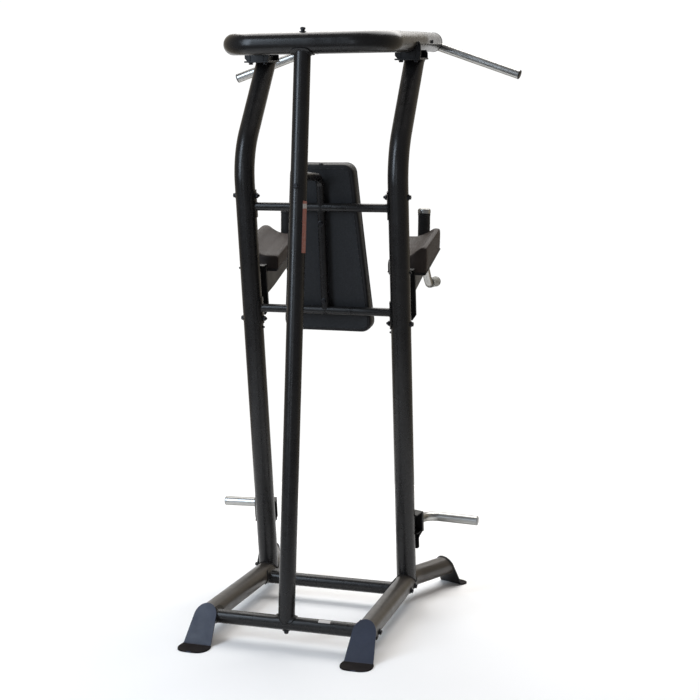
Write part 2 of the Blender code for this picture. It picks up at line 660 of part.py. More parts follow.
for side, tag in ((-1, "L"), (1, "R")):
    # front plate with cut lower corners, a short lip along each side and two notched plates
    mount = Body()
    at = upright_axis(ARM_BRACKET_Z, side)
    x_dir = vec(1, 0, 0)
    outline = [(-0.0300, -0.0930), (0.0300, -0.0930), (0.0445, -0.0700), (0.0445, 0.0930),
               (-0.0445, 0.0930), (-0.0445, -0.0700)]
    mount.prism(outline, at + UP_FRONT * 0.0585, x_dir, UP_DIR, 0.0045)
    for edge in (-0.0443, 0.0398):
        lip = [(edge, -0.0650), (edge + 0.0045, -0.0650), (edge + 0.0045, 0.0905), (edge, 0.0905)]
        mount.prism(lip, at + UP_FRONT * 0.0540, x_dir, UP_DIR, 0.0060)
    for where, half in ((-0.0885, 0.0280), (0.0925, 0.0425)):
        cross_plate(mount, at + UP_DIR * where, UP_DIR, UP_FRONT, half,
                    0.0610, 0.0320, 0.0040, MAIN_R + 0.0012)
    # cantilever under the pad: an inverted channel that gets shallower towards the grip
    face = at + UP_FRONT * 0.0610
    w, t, xc = 0.0240, 0.0040, side * GRIP_X
    rings = []
    for y, low_z, top_z in ((face.y, 1.2050, BOARD_Z - 0.0170),
                            (-0.1270, 1.2420, board_low(-0.1270) - GAP),
                            (PAD_FRONT_Y, 1.3080, board_low(PAD_FRONT_Y) - GAP),
                            (GRIP_Y + 0.0190, 1.3600, 1.3900)):
        rings.append([vec(xc - w, y, low_z), vec(xc - w, y, top_z), vec(xc + w, y, top_z),
                      vec(xc + w, y, low_z), vec(xc + w - t, y, low_z),
                      vec(xc + w - t, y, top_z - t), vec(xc - w + t, y, top_z - t),
                      vec(xc - w + t, y, low_z)])
    rings[0] = [vec(v.x, v.y + (v.z - face.z) * math.tan(LEAN), v.z) for v in rings[0]]
    mount.loft(rings)
    # sleeve that carries the grip tube
    mount.tube(straight((xc, GRIP_Y, 1.3685), (xc, GRIP_Y, 1.3920)), 0.0215, 0.0046, SEG_BAR)
    mount.build("arm_bracket_" + tag, "bracket", 30)

    # board and moulded pad
    board = Body()
    rings = []
    for y, inset in ((PAD_REAR_Y, 0.004), (PAD_REAR_Y - 0.004, 0.0), (PAD_FRONT_Y + 0.010, 0.0),
                     (PAD_FRONT_Y, 0.010)):
        z = board_low(y)
        a, b = side * (PAD_IN + 0.002 + inset), side * (PAD_OUT - 0.002 - inset)
        rings.append([vec(a, y, z), vec(b, y, z), vec(b, y, z + BOARD_T), vec(a, y, z + BOARD_T)])
    board.loft(rings)
    board.build("arm_board_" + tag, "board")

    pad = Body()
    rings = []
    for y, inset in ((PAD_REAR_Y, 0.0045), (PAD_REAR_Y - 0.0015, 0.0015),
                     (PAD_REAR_Y - 0.005, 0.0), (-0.1100, 0.0), (-0.1900, 0.0),
                     (PAD_FRONT_Y + 0.0230, 0.0), (PAD_FRONT_Y + 0.0110, 0.0020),
                     (PAD_FRONT_Y + 0.0035, 0.0070), (PAD_FRONT_Y, 0.0140)):
        t = (PAD_REAR_Y - y) / (PAD_REAR_Y - PAD_FRONT_Y)
        z0 = board_low(y) + BOARD_T + GAP
        h_in = 0.0520 - 0.0030 * t - inset * 1.4
        h_out = 0.0950 - 0.0140 * t - inset * 1.4
        a, b = PAD_IN + inset, PAD_OUT - inset
        width = b - a
        flat = a + width * 0.42
        ridge = b - 0.0190 - 0.0020 * t
        section = [(a + 0.001, 0.0), (a, 0.0040), (a, h_in - 0.0120), (a + 0.0035, h_in - 0.0035),
                   (a + 0.0120, h_in), (flat - 0.012, h_in + 0.0005), (flat + 0.004, h_in + 0.0040),
                   (a + width * 0.64, h_in + (h_out - h_in) * 0.42),
                   (a + width * 0.76, h_in + (h_out - h_in) * 0.78), (ridge - 0.0060, h_out - 0.0020),
                   (ridge, h_out), (b - 0.0030, h_out - 0.0035), (b, h_out - 0.0110),
                   (b, 0.0040), (b - 0.001, 0.0)]
        rings.append([vec(side * x, y, z0 + z) for x, z in section])
    pad.loft(rings)
    pad.build("arm_pad_" + tag, "vinyl", 40)

    # chrome tube: upright grip, slanted neck and forward dip handle
    xg = side * GRIP_X
    points = [(xg, GRIP_Y, GRIP_TOP), (xg, GRIP_Y, 1.3500), (xg + side * 0.002, -0.4330, 1.2470),
              (xg + side * 0.002, -0.5560, 1.2450)]
    handle_path = rounded_path(points, [0.040, 0.045], [4, 4])
    handle = Body()
    handle.tube(handle_path, BAR_R, THIN_WALL, SEG_BAR, hint=vec(1, 0, 0))
    handle.build("dip_handle_" + tag, "chrome")

    sleeve_in = BAR_R + 0.0008
    sleeve_top = GRIP_TOP + 0.0005
    grip = Body()
    grip.tube(straight((xg, GRIP_Y, 1.3935), (xg, GRIP_Y, sleeve_top)), 0.0248, 0.0248 - sleeve_in,
              SEG_MID)
    grip.build("hand_grip_upper_" + tag, "rubber")
    cap = Body()
    cap.lathe((xg, GRIP_Y, sleeve_top + GAP), (0, 0, 1),
              [(0.0245, 0.0), (0.0255, 0.0012), (0.0255, 0.0120), (0.0236, 0.0174),
               (0.0172, 0.0206), (0.0, 0.0216)], SEG_MID)
    cap.build("hand_grip_cap_" + tag, "chrome")

    tip, tip_dir = handle_path[-1]
    sleeve = Body()
    sleeve.tube([(tip - tip_dir * 0.1000, tip_dir), (tip, tip_dir)], 0.0205, 0.0205 - sleeve_in,
                SEG_MID)
    sleeve.build("hand_grip_lower_" + tag, "rubber")
    end_cap = Body()
    end_cap.lathe(tip + tip_dir * GAP, tip_dir,
                  [(0.0205, 0.0), (0.0212, 0.0010), (0.0212, 0.0070), (0.0195, 0.0105),
                   (0.0130, 0.0125), (0.0, 0.0132)], SEG_MID)
    end_cap.build("dip_handle_cap_" + tag, "chrome")

# ---------------------------------------------------------------- push-up handles
def channel(body, centre, length, across, face, half_w, front, back, thick):
    """Shallow channel in front of an upright: a flat front with a lip along each side."""
    outline = [(-half_w, back), (-half_w, front), (half_w, front), (half_w, back),
               (half_w - thick, back), (half_w - thick, front - thick),
               (-half_w + thick, front - thick), (-half_w + thick, back)]
    return body.prism(outline, centre + UP_DIR * length / 2, across, face, length)


for side, tag in ((-1, "L"), (1, "R")):
    at = upright_axis(PUSH_Z, side)
    face = UP_FRONT * math.cos(PUSH_TURN) + vec(side, 0, 0) * math.sin(PUSH_TURN)
    across = UP_DIR.cross(face)
    mount = Body()
    channel(mount, at, 0.082, across, face, 0.0455, 0.0640, 0.0520, 0.0045)
    for where in (-0.0365, 0.0405):
        cross_plate(mount, at + UP_DIR * where, UP_DIR, face, 0.0455 - 0.0020,
                    0.0610, 0.0160, 0.0040, MAIN_R + 0.0012)
    # bent tail plate that reaches down along the upright
    rings = []
    for off, down, wide in ((0.0634, 0.0380, 0.0430), (0.0470, 0.0600, 0.0360),
                            (0.0440, 0.0680, 0.0350), (0.0440, 0.1050, 0.0350),
                            (0.0440, 0.1130, 0.0240)):
        mid = at + face * off - UP_DIR * down
        rings.append([mid - across * wide, mid + across * wide,
                      mid + across * wide - face * 0.0040,
                      mid - across * wide - face * 0.0040])
    mount.loft(rings)
    mount.build("push_up_bracket_" + tag, "bracket", 30)

    start = at + face * (0.0640 + GAP) - UP_DIR * 0.0140
    points = [start, start + face * 0.0720, (side * 0.5350, -0.3010, 0.3120)]
    points[1].y, points[1].z = -0.3010, 0.3180
    handle_path = rounded_path(points, [0.060], [5])
    handle = Body()
    handle.tube(handle_path, CHROME_R, THIN_WALL, SEG_BAR, cut0=("plane", start, face))
    handle.build("push_up_handle_" + tag, "chrome")
    end_plug("push_up_cap_" + tag, handle_path[-1][0], handle_path[-1][1])

# ---------------------------------------------------------------- bolts and nuts
cap_nut("post_top_nut", post_head + vec(0, 0, MAIN_R), (0, 0, 1))
bolt("post_foot_bolt", post_foot - vec(0, 0, CROSS_R), (0, 0, -1), 0.0092, 0.0130)
post_back = vec(0, post_dir.z, -post_dir.y)
bolt("post_rear_bolt", post_axis(1.6350) + post_back * POST_R, post_back)
for name, z in (("upper", 1.4970), ("lower", 1.2050)):
    bolt("spine_bolt_" + name, spine_point(z) - UP_FRONT * SPINE_R, -UP_FRONT, 0.0070, 0.0055)
for side, tag in ((-1, "L"), (1, "R")):
    for name, z in (("upper", 1.5950), ("lower", 1.1250)):
        outer = upright_axis(z, side) + vec(side * MAIN_R, 0, 0)
        bolt(f"backrest_bolt_{name}_{tag}", outer, (side, 0, 0), height=0.0075)
    outer = rail_point(side, REAR_CROSS[0]) + vec(side * (MAIN_R + GAP), 0, 0)
    bolt("rear_crossbar_bolt_" + tag, outer, (side, 0, 0))

bpy.context.view_layer.update()
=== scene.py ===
"""Power tower: the visual model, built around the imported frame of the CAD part."""

from math import asin, atan, atan2, copysign, cos, pi, radians, sin, sqrt, tan, tau

import bmesh
import bpy
from mathutils import Matrix, Vector, noise


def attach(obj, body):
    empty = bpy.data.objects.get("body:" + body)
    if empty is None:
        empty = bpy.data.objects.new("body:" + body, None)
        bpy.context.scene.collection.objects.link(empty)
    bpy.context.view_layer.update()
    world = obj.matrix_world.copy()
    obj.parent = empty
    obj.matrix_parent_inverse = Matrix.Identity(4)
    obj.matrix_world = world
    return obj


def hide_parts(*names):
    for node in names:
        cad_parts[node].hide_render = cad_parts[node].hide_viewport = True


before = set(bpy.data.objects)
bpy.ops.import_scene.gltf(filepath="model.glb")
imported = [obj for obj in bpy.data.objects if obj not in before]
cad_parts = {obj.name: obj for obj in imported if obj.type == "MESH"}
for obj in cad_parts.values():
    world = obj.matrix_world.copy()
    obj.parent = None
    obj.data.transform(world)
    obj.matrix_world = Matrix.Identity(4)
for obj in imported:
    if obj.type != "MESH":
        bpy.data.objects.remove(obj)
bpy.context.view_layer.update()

# ---- sizes of the machine, in metres; side points hold x, y, z of the right-hand side
SIDES = ((-1, "L"), (1, "R"))
GAP = 0.0003
MAIN_R, CROSS_R, POST_R = 0.0381, 0.0254, 0.03
CHROME_R, BAR_R, SPINE_R = 0.0185, 0.016, 0.015
WALL, THIN_WALL, SHELL_T = 0.003, 0.0025, 0.004
MAIN_SEAT, CROSS_SEAT = MAIN_R + GAP + SHELL_T - 0.0005, CROSS_R + GAP + SHELL_T - 0.0005
RAIL_Z = 0.084
RAIL_REAR, RAIL_KINK, RAIL_FRONT = (0.2985, 0.51), (0.287, -0.206), (0.384, -0.416)
REAR_LEAN, FRONT_LEAN = radians(40.0), radians(27.0)
REAR_TONGUE, FRONT_TONGUE = 0.068, 0.045
PLATE_T, PLATE_TOP_R, PLATE_BEND_R = 0.005, 0.043, 0.015
LEG_HALF, HEEL_GROWTH, TOE_HALF = 0.052, 0.0045, 0.058
UP_FOOT, UP_BEND, UP_TOP = (0.2882, -0.143, 0.084), (0.297, 0.133, 1.742), (0.295, -0.111)
UP_BEND_R = 0.27
REAR_CROSS, FRONT_CROSS = (0.476, 0.082), (-0.068, 0.074)
TOP_REAR, TOP_BEND, TOP_END = (0.328, 2.128), (0.295, -0.17), (0.249, -0.612, 2.2235)
TOP_CORNER_R, TOP_ARM_R, ARM_BOLT_Y = 0.12, 0.6, -0.262
BRACKET_DEPTH, BRACKET_HALF, BRACKET_LEN, BRACKET_Y = 0.066, 0.049, 0.143, 0.006
PULL_MID, PULL_TIP, PULL_BEND_R = (0.242, -0.6418, 2.219), (0.607, -0.6195, 2.089), 0.09
BACK_UP_Z, BACK_LOW_Z, BACK_MID_Z = 1.555, 1.167, 1.3955
BACK_TOP, BACK_BOTTOM, BACK_HALF = 0.118, 0.172, 0.3155
SPINE_TOP_Z, SPINE_END_Z, SPINE_BEND_R = 1.664, 1.668, 0.045
PAD_REAR_Y, PAD_FRONT_Y, PAD_IN, PAD_OUT, PAD_SLOPE = -0.043, -0.288, 0.22, 0.37, 0.355
BOARD_Z, BOARD_T, ARM_MOUNT_Z = 1.303, 0.008, 1.23
GRIP_X, GRIP_Y, GRIP_TOP = 0.288, -0.343, 1.528
GRIP_BORE, UPPER_GRIP, LOWER_GRIP = 0.0165, 0.135, 0.1
SLEEVE_R, SLEEVE_WALL, SLEEVE_Z = 0.0215, 0.0052, (1.3685, 1.392)
DIP_ELBOW_Z, DIP_KNEE, DIP_TIP = 1.35, (0.29, -0.433, 1.247), (0.29, -0.556, 1.245)
PUSH_Z, PUSH_TURN, PUSH_TIP = 0.325, radians(18.0), (0.535, -0.301, 0.312)
PUSH_REACH, PUSH_BEND_Z, PUSH_BEND_R = 0.072, 0.318, 0.06
BASE_BOLTS = (0.443, 0.074), (0.5, 0.074), (-0.121, 0.076), (-0.056, 0.076)
BACK_BOLT_Z, SPINE_BOLT_Z = (1.595, 1.125), (1.497, 1.205)
LABEL_Z, LABEL_BAND = (1.398, 1.58), (1.554, 1.57)
LEAN = atan2(0.276, 1.658)

X, Y, Z = Vector((1, 0, 0)), Vector((0, 1, 0)), Vector((0, 0, 1))
UP_DIR = Vector((0, sin(LEAN), cos(LEAN)))
UP_FRONT = Vector((0, -cos(LEAN), sin(LEAN)))
ARM_RISE = atan2(TOP_END[2] - TOP_REAR[1], TOP_REAR[0] - TOP_END[1])
ARM_DIR = Vector((0, -cos(ARM_RISE), sin(ARM_RISE)))
ARM_UP = Vector((0, sin(ARM_RISE), cos(ARM_RISE)))


def vec(*values):
    return Vector(values[0] if len(values) == 1 else values)


def mm(*rows):
    """A table of sizes written in millimetres."""
    return [tuple(v / 1000 for v in row) for row in rows]


def flip(side, point):
    """A side point, on the side asked for."""
    return vec(side * point[0], *point[1:])


def arm_z(y):
    return TOP_REAR[1] + (TOP_REAR[0] - y) * tan(ARM_RISE)


def upright_axis(z, side):
    t = (z - UP_FOOT[2]) / (UP_BEND[2] - UP_FOOT[2])
    return vec(side * (UP_FOOT[0] + (UP_BEND[0] - UP_FOOT[0]) * t),
               UP_FOOT[1] + (UP_BEND[1] - UP_FOOT[1]) * t, z)


def spine_point(z):
    return vec(0, upright_axis(z, 1).y, z)


def rail_point(side, y):
    t = (y - RAIL_KINK[1]) / (RAIL_REAR[1] - RAIL_KINK[1])
    return vec(side * (RAIL_KINK[0] + (RAIL_REAR[0] - RAIL_KINK[0]) * t), y, RAIL_Z)


def rail_dir(side):
    return (rail_point(side, 1.0) - rail_point(side, 0.0)).normalized()


def board_low(y):
    return BOARD_Z + (PAD_REAR_Y - y) * PAD_SLOPE


def pad_base(y):
    return board_low(y) + BOARD_T + GAP


# ---- materials
class Nodes:
    """Short way to write the nodes of a material or of the world."""

    def __init__(self, owner, source="Object"):
        self.owner = owner
        owner.use_nodes = True
        self.tree = owner.node_tree
        self.shader = self.tree.nodes.get("Principled BSDF")
        self.coord = self.tree.nodes.new("ShaderNodeTexCoord").outputs[source]

    def feed(self, socket, value):
        """Set a socket to a number, a vector or a colour, or link it to another node."""
        if isinstance(value, bpy.types.NodeSocket):
            self.tree.links.new(value, socket)
        else:
            socket.default_value = (*value, 1.0) if isinstance(value, tuple) else value

    def node(self, kind, output, inputs, **props):
        node = self.tree.nodes.new("ShaderNode" + kind)
        for key, value in props.items():
            setattr(node, key, value)
        for key, value in inputs.items():
            self.feed(node.inputs[key], value)
        return node.outputs[output]

    def mapping(self, scale):
        return self.node("Mapping", "Vector", {"Scale": vec(scale), "Vector": self.coord})

    def noise(self, scale, detail=3.0, rough=0.5, vector=None):
        return self.node("TexNoise", "Fac", {"Scale": scale, "Detail": detail, "Roughness": rough,
                                             "Vector": vector or self.coord})

    def voronoi(self, scale, feature="F1"):
        return self.node("TexVoronoi", "Distance", {"Scale": scale, "Vector": self.coord},
                         feature=feature)

    def ramp(self, fac, low, high, to_low=0.0, to_high=1.0, **props):
        return self.node("MapRange", "Result", {"From Min": low, "From Max": high, "Value": fac,
                                                "To Min": to_low, "To Max": to_high}, **props)

    def math(self, operation, a, b):
        return self.node("Math", "Value", {0: a, 1: b}, operation=operation)

    def mix(self, fac, a, b):
        return self.node("Mix", "Result", {"Factor": fac, "A": a, "B": b}, data_type="RGBA")

    def height(self, vector):
        return self.node("SeparateXYZ", "Z", {"Vector": vector})

    def upward(self):
        return self.ramp(self.height(self.node("NewGeometry", "Normal", {})), 0.35, 1.0)

    def set(self, **values):
        for key, value in values.items():
            self.feed(self.shader.inputs[key.replace("_", " ")], value)

    def bump(self, height, strength, distance):
        """Add a bump on top of those already there."""
        normal = self.shader.inputs["Normal"]
        inputs = {"Strength": strength, "Distance": distance, "Height": height}
        if normal.is_linked:
            inputs["Normal"] = normal.links[0].from_socket
        self.feed(normal, self.node("Bump", "Normal", inputs))


def tint(colour, gain, lift=0.0):
    return tuple(c * gain + lift for c in colour)


def powder_coat(n, colour, rough, level, dust_and_sheen=0.05):
    """Satin powder coat: orange-peel skin, uneven gloss and lighter top faces: a trace of dust, and
    painted sheen where the amount is raised for the rails.
    """
    skin = n.noise(230.0, 2.0)
    cloud = n.noise(7.0, 4.0, 0.6)
    speck = n.noise(2400.0, 1.0)
    base = n.mix(n.ramp(cloud, 0.35, 0.7), colour, tint(colour, 1.45, 0.002))
    base = n.mix(n.math("MULTIPLY", n.ramp(speck, 0.66, 0.78), 0.12), base,
                 tint(colour, 2.2, 0.004))
    # top faces are lightened: a trace of dust, and painted sheen where the rails raise the amount
    dust_and_sheen_mask = n.math("MULTIPLY", n.upward(), n.ramp(n.noise(55.0, 5.0, 0.7), 0.38, 0.75, 0.0, dust_and_sheen))
    n.set(Base_Color=n.mix(dust_and_sheen_mask, base, (0.3, 0.28, 0.25)), Metallic=0.0, Specular_IOR_Level=level)
    n.set(Roughness=n.ramp(n.noise(24.0, 3.0, 0.6), 0.3, 0.7, rough - 0.05, rough + 0.06))
    n.bump(skin, 0.05, 0.0002)


def chrome(n):
    """Chrome plate, smeared by hands."""
    smear = n.noise(14.0, 4.0, 0.65)
    brushed = n.noise(35.0, 3.0)
    n.set(Base_Color=n.mix(n.ramp(smear, 0.35, 0.7), (0.4, 0.4, 0.39), (0.47, 0.47, 0.455)),
          Metallic=1.0, Specular_Tint=(0.22, 0.21, 0.19))
    n.set(Roughness=n.math("ADD", n.ramp(smear, 0.3, 0.75, 0.27, 0.36),
                           n.ramp(brushed, 0.3, 0.7, 0.0, 0.02)))
    n.bump(n.noise(22.0, 2.0), 0.05, 0.0006)


def rubber(n, colour, rough, level=0.35):
    base = n.mix(n.ramp(n.noise(30.0, 4.0, 0.6), 0.35, 0.7), colour, tint(colour, 1.5, 0.003))
    n.set(Base_Color=base, Roughness=n.ramp(n.noise(60.0), 0.3, 0.7, rough - 0.08, rough + 0.06),
          Specular_IOR_Level=level)
    n.bump(n.voronoi(900.0), 0.25, 0.0003)


def vinyl(n, colour, rough, level):
    """Upholstery vinyl with a pebbled leather grain and softer, cloudy wear."""
    grain = n.voronoi(520.0, "DISTANCE_TO_EDGE")
    pores = n.noise(1500.0, 3.0, 0.6)
    crease = n.noise(38.0, 5.0, 0.62)
    cloud = n.noise(9.0, 4.0, 0.6)
    base = n.mix(n.ramp(cloud, 0.35, 0.72), colour, tint(colour, 1.6, 0.004))
    # the grain's valleys are darkened: painted shade
    base = n.mix(n.ramp(grain, 0.0, 0.1, 0.45, 0.0), base, tint(colour, 0.45))
    n.set(Base_Color=base, Specular_IOR_Level=level)
    n.set(Roughness=n.math("ADD", n.ramp(cloud, 0.3, 0.7, rough - 0.05, rough + 0.05),
                           n.ramp(grain, 0.0, 0.12, 0.1, 0.0)))
    n.bump(crease, 0.1, 0.002)
    n.bump(pores, 0.1, 0.0003)
    n.bump(n.ramp(grain, 0.0, 0.12), 0.3, 0.0005)


def backing_cloth(n):
    """Thin non-woven cloth stapled over the back of the boards."""
    warp = n.noise(800.0, 2.0, 0.5, n.mapping((1.0, 0.12, 0.12)))
    weft = n.noise(800.0, 2.0, 0.5, n.mapping((0.12, 1.0, 1.0)))
    fibres = n.math("MAXIMUM", warp, weft)
    base = n.mix(n.ramp(fibres, 0.45, 0.75), (0.0055, 0.0058, 0.0066), (0.02, 0.021, 0.024))
    n.set(Base_Color=base, Roughness=n.ramp(fibres, 0.4, 0.8, 0.62, 0.8), Specular_IOR_Level=0.3)
    n.bump(fibres, 0.25, 0.0004)
    n.bump(n.noise(16.0, 4.0, 0.6), 0.1, 0.003)


def hardware(n, colour, rough):
    """Plated steel, worn brighter in places."""
    worn = n.noise(160.0, 4.0, 0.65)
    n.set(Base_Color=n.mix(n.ramp(worn, 0.52, 0.74), colour, tint(colour, 3.0, 0.01)),
          Metallic=0.75, Roughness=n.ramp(worn, 0.3, 0.7, rough - 0.06, rough + 0.1))
    n.bump(n.noise(700.0, 2.0), 0.1, 0.0002)


def plastic(n, colour, rough):
    base = n.mix(n.ramp(n.noise(40.0, 3.0), 0.35, 0.7), colour, tint(colour, 0.82))
    n.set(Base_Color=base, Roughness=n.ramp(n.noise(90.0), 0.3, 0.7, rough - 0.05, rough + 0.07),
          Specular_IOR_Level=0.45)
    n.bump(n.noise(1200.0, 2.0), 0.08, 0.0002)


def label(n, paper, ink, low, high):
    """Blank printed film: plain ink with a paper band near its top edge, no lettering."""
    wear = n.noise(120.0, 4.0, 0.7)
    z = n.height(n.coord)
    band = n.math("MULTIPLY", n.ramp(z, low, low + 0.001), n.ramp(z, high + 0.001, high))
    base = n.mix(band, n.mix(n.ramp(wear, 0.45, 0.75, 0.0, 0.35), ink, paper), paper)
    n.set(Base_Color=base, Roughness=n.ramp(wear, 0.3, 0.7, 0.4, 0.55), Specular_IOR_Level=0.3)
    n.bump(wear, 0.05, 0.0002)


# each look: its palette slot, the name of its material, and the recipe with its values
LOOKS = {
    "frame": ("frame", "powder_black", powder_coat, (0.0068, 0.0063, 0.0064), 0.28, 0.36),
    # the rails' brown-grey tone and their stronger lightening of top faces are painted sheen,
    # standing in for the reflection of the bright light above
    "base": ("frame", "powder_base", powder_coat, (0.029, 0.024, 0.019), 0.36, 0.62, 0.09),
    # the blue tone of the rear foot plates is a painted reflection of the bluish lights
    "plate": ("plate", "powder_plate", powder_coat, (0.0085, 0.013, 0.03), 0.4, 0.46, 0.04),
    "dark_plate": ("plate", "powder_plate_dark", powder_coat, (0.0062, 0.006, 0.0064), 0.42, 0.34,
                   0.04),
    "bracket": ("bracket", "powder_bracket", powder_coat, (0.007, 0.007, 0.0077), 0.42, 0.28),
    "chrome": ("chrome", "chrome_plate", chrome),
    "rubber": ("rubber", "grip_rubber", rubber, (0.009, 0.0085, 0.0085), 0.66),
    "vinyl": ("vinyl", "arm_vinyl", vinyl, (0.029, 0.0215, 0.0185), 0.5, 0.13),
    "back_vinyl": ("vinyl", "back_vinyl", vinyl, (0.0095, 0.0092, 0.0098), 0.46, 0.19),
    "cloth": ("board", "backing_cloth", backing_cloth),
    "steel": ("steel", "black_zinc", hardware, (0.018, 0.018, 0.02), 0.38),
    "staple": ("steel", "staple_wire", hardware, (0.05, 0.05, 0.052), 0.34),
    "plug": ("plug", "plug_grey", plastic, (0.36, 0.36, 0.35), 0.38),
    "dark_plug": ("plug", "plug_dark", plastic, (0.012, 0.012, 0.013), 0.42),
    "thread": ("vinyl", "sewing_thread", plastic, (0.03, 0.026, 0.024), 0.6),
    "label": ("plug", "label_film", label, (0.5, 0.46, 0.44), (0.34, 0.13, 0.1), *LABEL_BAND),
    "label_white": ("plug", "label_white", label, (0.62, 0.58, 0.55), (0.56, 0.52, 0.49), 0.0, 0.0),
    # the dark, dull coat on the lower bend and tongue of the foot plates is painted shade
    "toe": ("plate", "toe_tread", rubber, (0.0105, 0.0085, 0.0085), 0.72, 0.06),
    "pale_grip": ("rubber", "pale_grip", rubber, (0.235, 0.235, 0.215), 0.46),
}
for key, (slot, name, recipe, *values) in LOOKS.items():
    nodes = Nodes(bpy.data.materials.new(name))
    recipe(nodes, *values)
    LOOKS[key] = slot, nodes.owner


# ---- mesh building
def frame_from(axis, hint=Z):
    axis = axis.normalized()
    if abs(axis.dot(hint)) > 0.98:
        hint = X
    side = (hint - axis * hint.dot(axis)).normalized()
    return side, axis.cross(side)


def circle(centre, a, b, radius, seg, turn=0.0):
    """Points round a circle spanned by two unit vectors."""
    angles = [turn + tau * k / seg for k in range(seg)]
    return [centre + (a * cos(t) + b * sin(t)) * radius for t in angles]


def rounded_path(points, radii, steps):
    """A line of points and directions with its inner corners rounded."""
    pts = [vec(p) for p in points]
    out = [(pts[0], (pts[1] - pts[0]).normalized())]
    for prev, p, nxt, radius, count in zip(pts, pts[1:], pts[2:], radii, steps):
        a, b = (p - prev).normalized(), (nxt - p).normalized()
        angle = a.angle(b)
        start = p - a * radius * tan(angle / 2)
        normal = (b - a * a.dot(b)).normalized()
        centre = start + normal * radius
        for k in range(count + 1):
            t = angle * k / count
            out.append((centre - normal * radius * cos(t) + a * radius * sin(t),
                        (a * cos(t) + normal * sin(t)).normalized()))
    return out + [(pts[-1], (pts[-1] - pts[-2]).normalized())]


def straight(a, b, steps=1):
    a, b = vec(a), vec(b)
    t = (b - a).normalized()
    return [(a.lerp(b, k / steps), t) for k in range(steps + 1)]


def trim(point, direction, cut):
    """Slide a point along a direction onto a plane or onto the near side of a cylinder."""
    direction = direction.normalized()
    origin, axis = vec(cut[1]), vec(cut[2])
    if cut[0] == "plane":
        return point + direction * ((origin - point).dot(axis) / direction.dot(axis))
    axis.normalize()
    rel = point - origin
    rel -= axis * rel.dot(axis)
    d = direction - axis * direction.dot(axis)
    a, b, c = d.dot(d), rel.dot(d), rel.dot(rel) - cut[3] * cut[3]
    return point + direction * ((-b - sqrt(max(b * b - a * c, 0.0))) / a)


def resample(loop, step, closed=True):
    """Evenly spaced points along a line; a closed line gets a multiple of four."""
    pts = list(loop) + ([loop[0]] if closed else [])
    lengths = [0.0]
    for a, b in zip(pts, pts[1:]):
        lengths.append(lengths[-1] + (b - a).length)
    total = lengths[-1]
    n = max(8, int(round(total / step / 4)) * 4) if closed else max(2, int(total / step))
    out, i = [], 0
    for k in range(n if closed else n + 1):
        d = total * k / n
        while i < len(lengths) - 2 and lengths[i + 1] < d:
            i += 1
        span = max(lengths[i + 1] - lengths[i], 1e-9)
        out.append(pts[i].lerp(pts[i + 1], (d - lengths[i]) / span))
    return out


def place(name, data):
    obj = bpy.data.objects.new(name, data)
    bpy.context.scene.collection.objects.link(obj)
    return obj


def slanted(out, lean):
    return out * cos(lean) + Z * sin(lean)


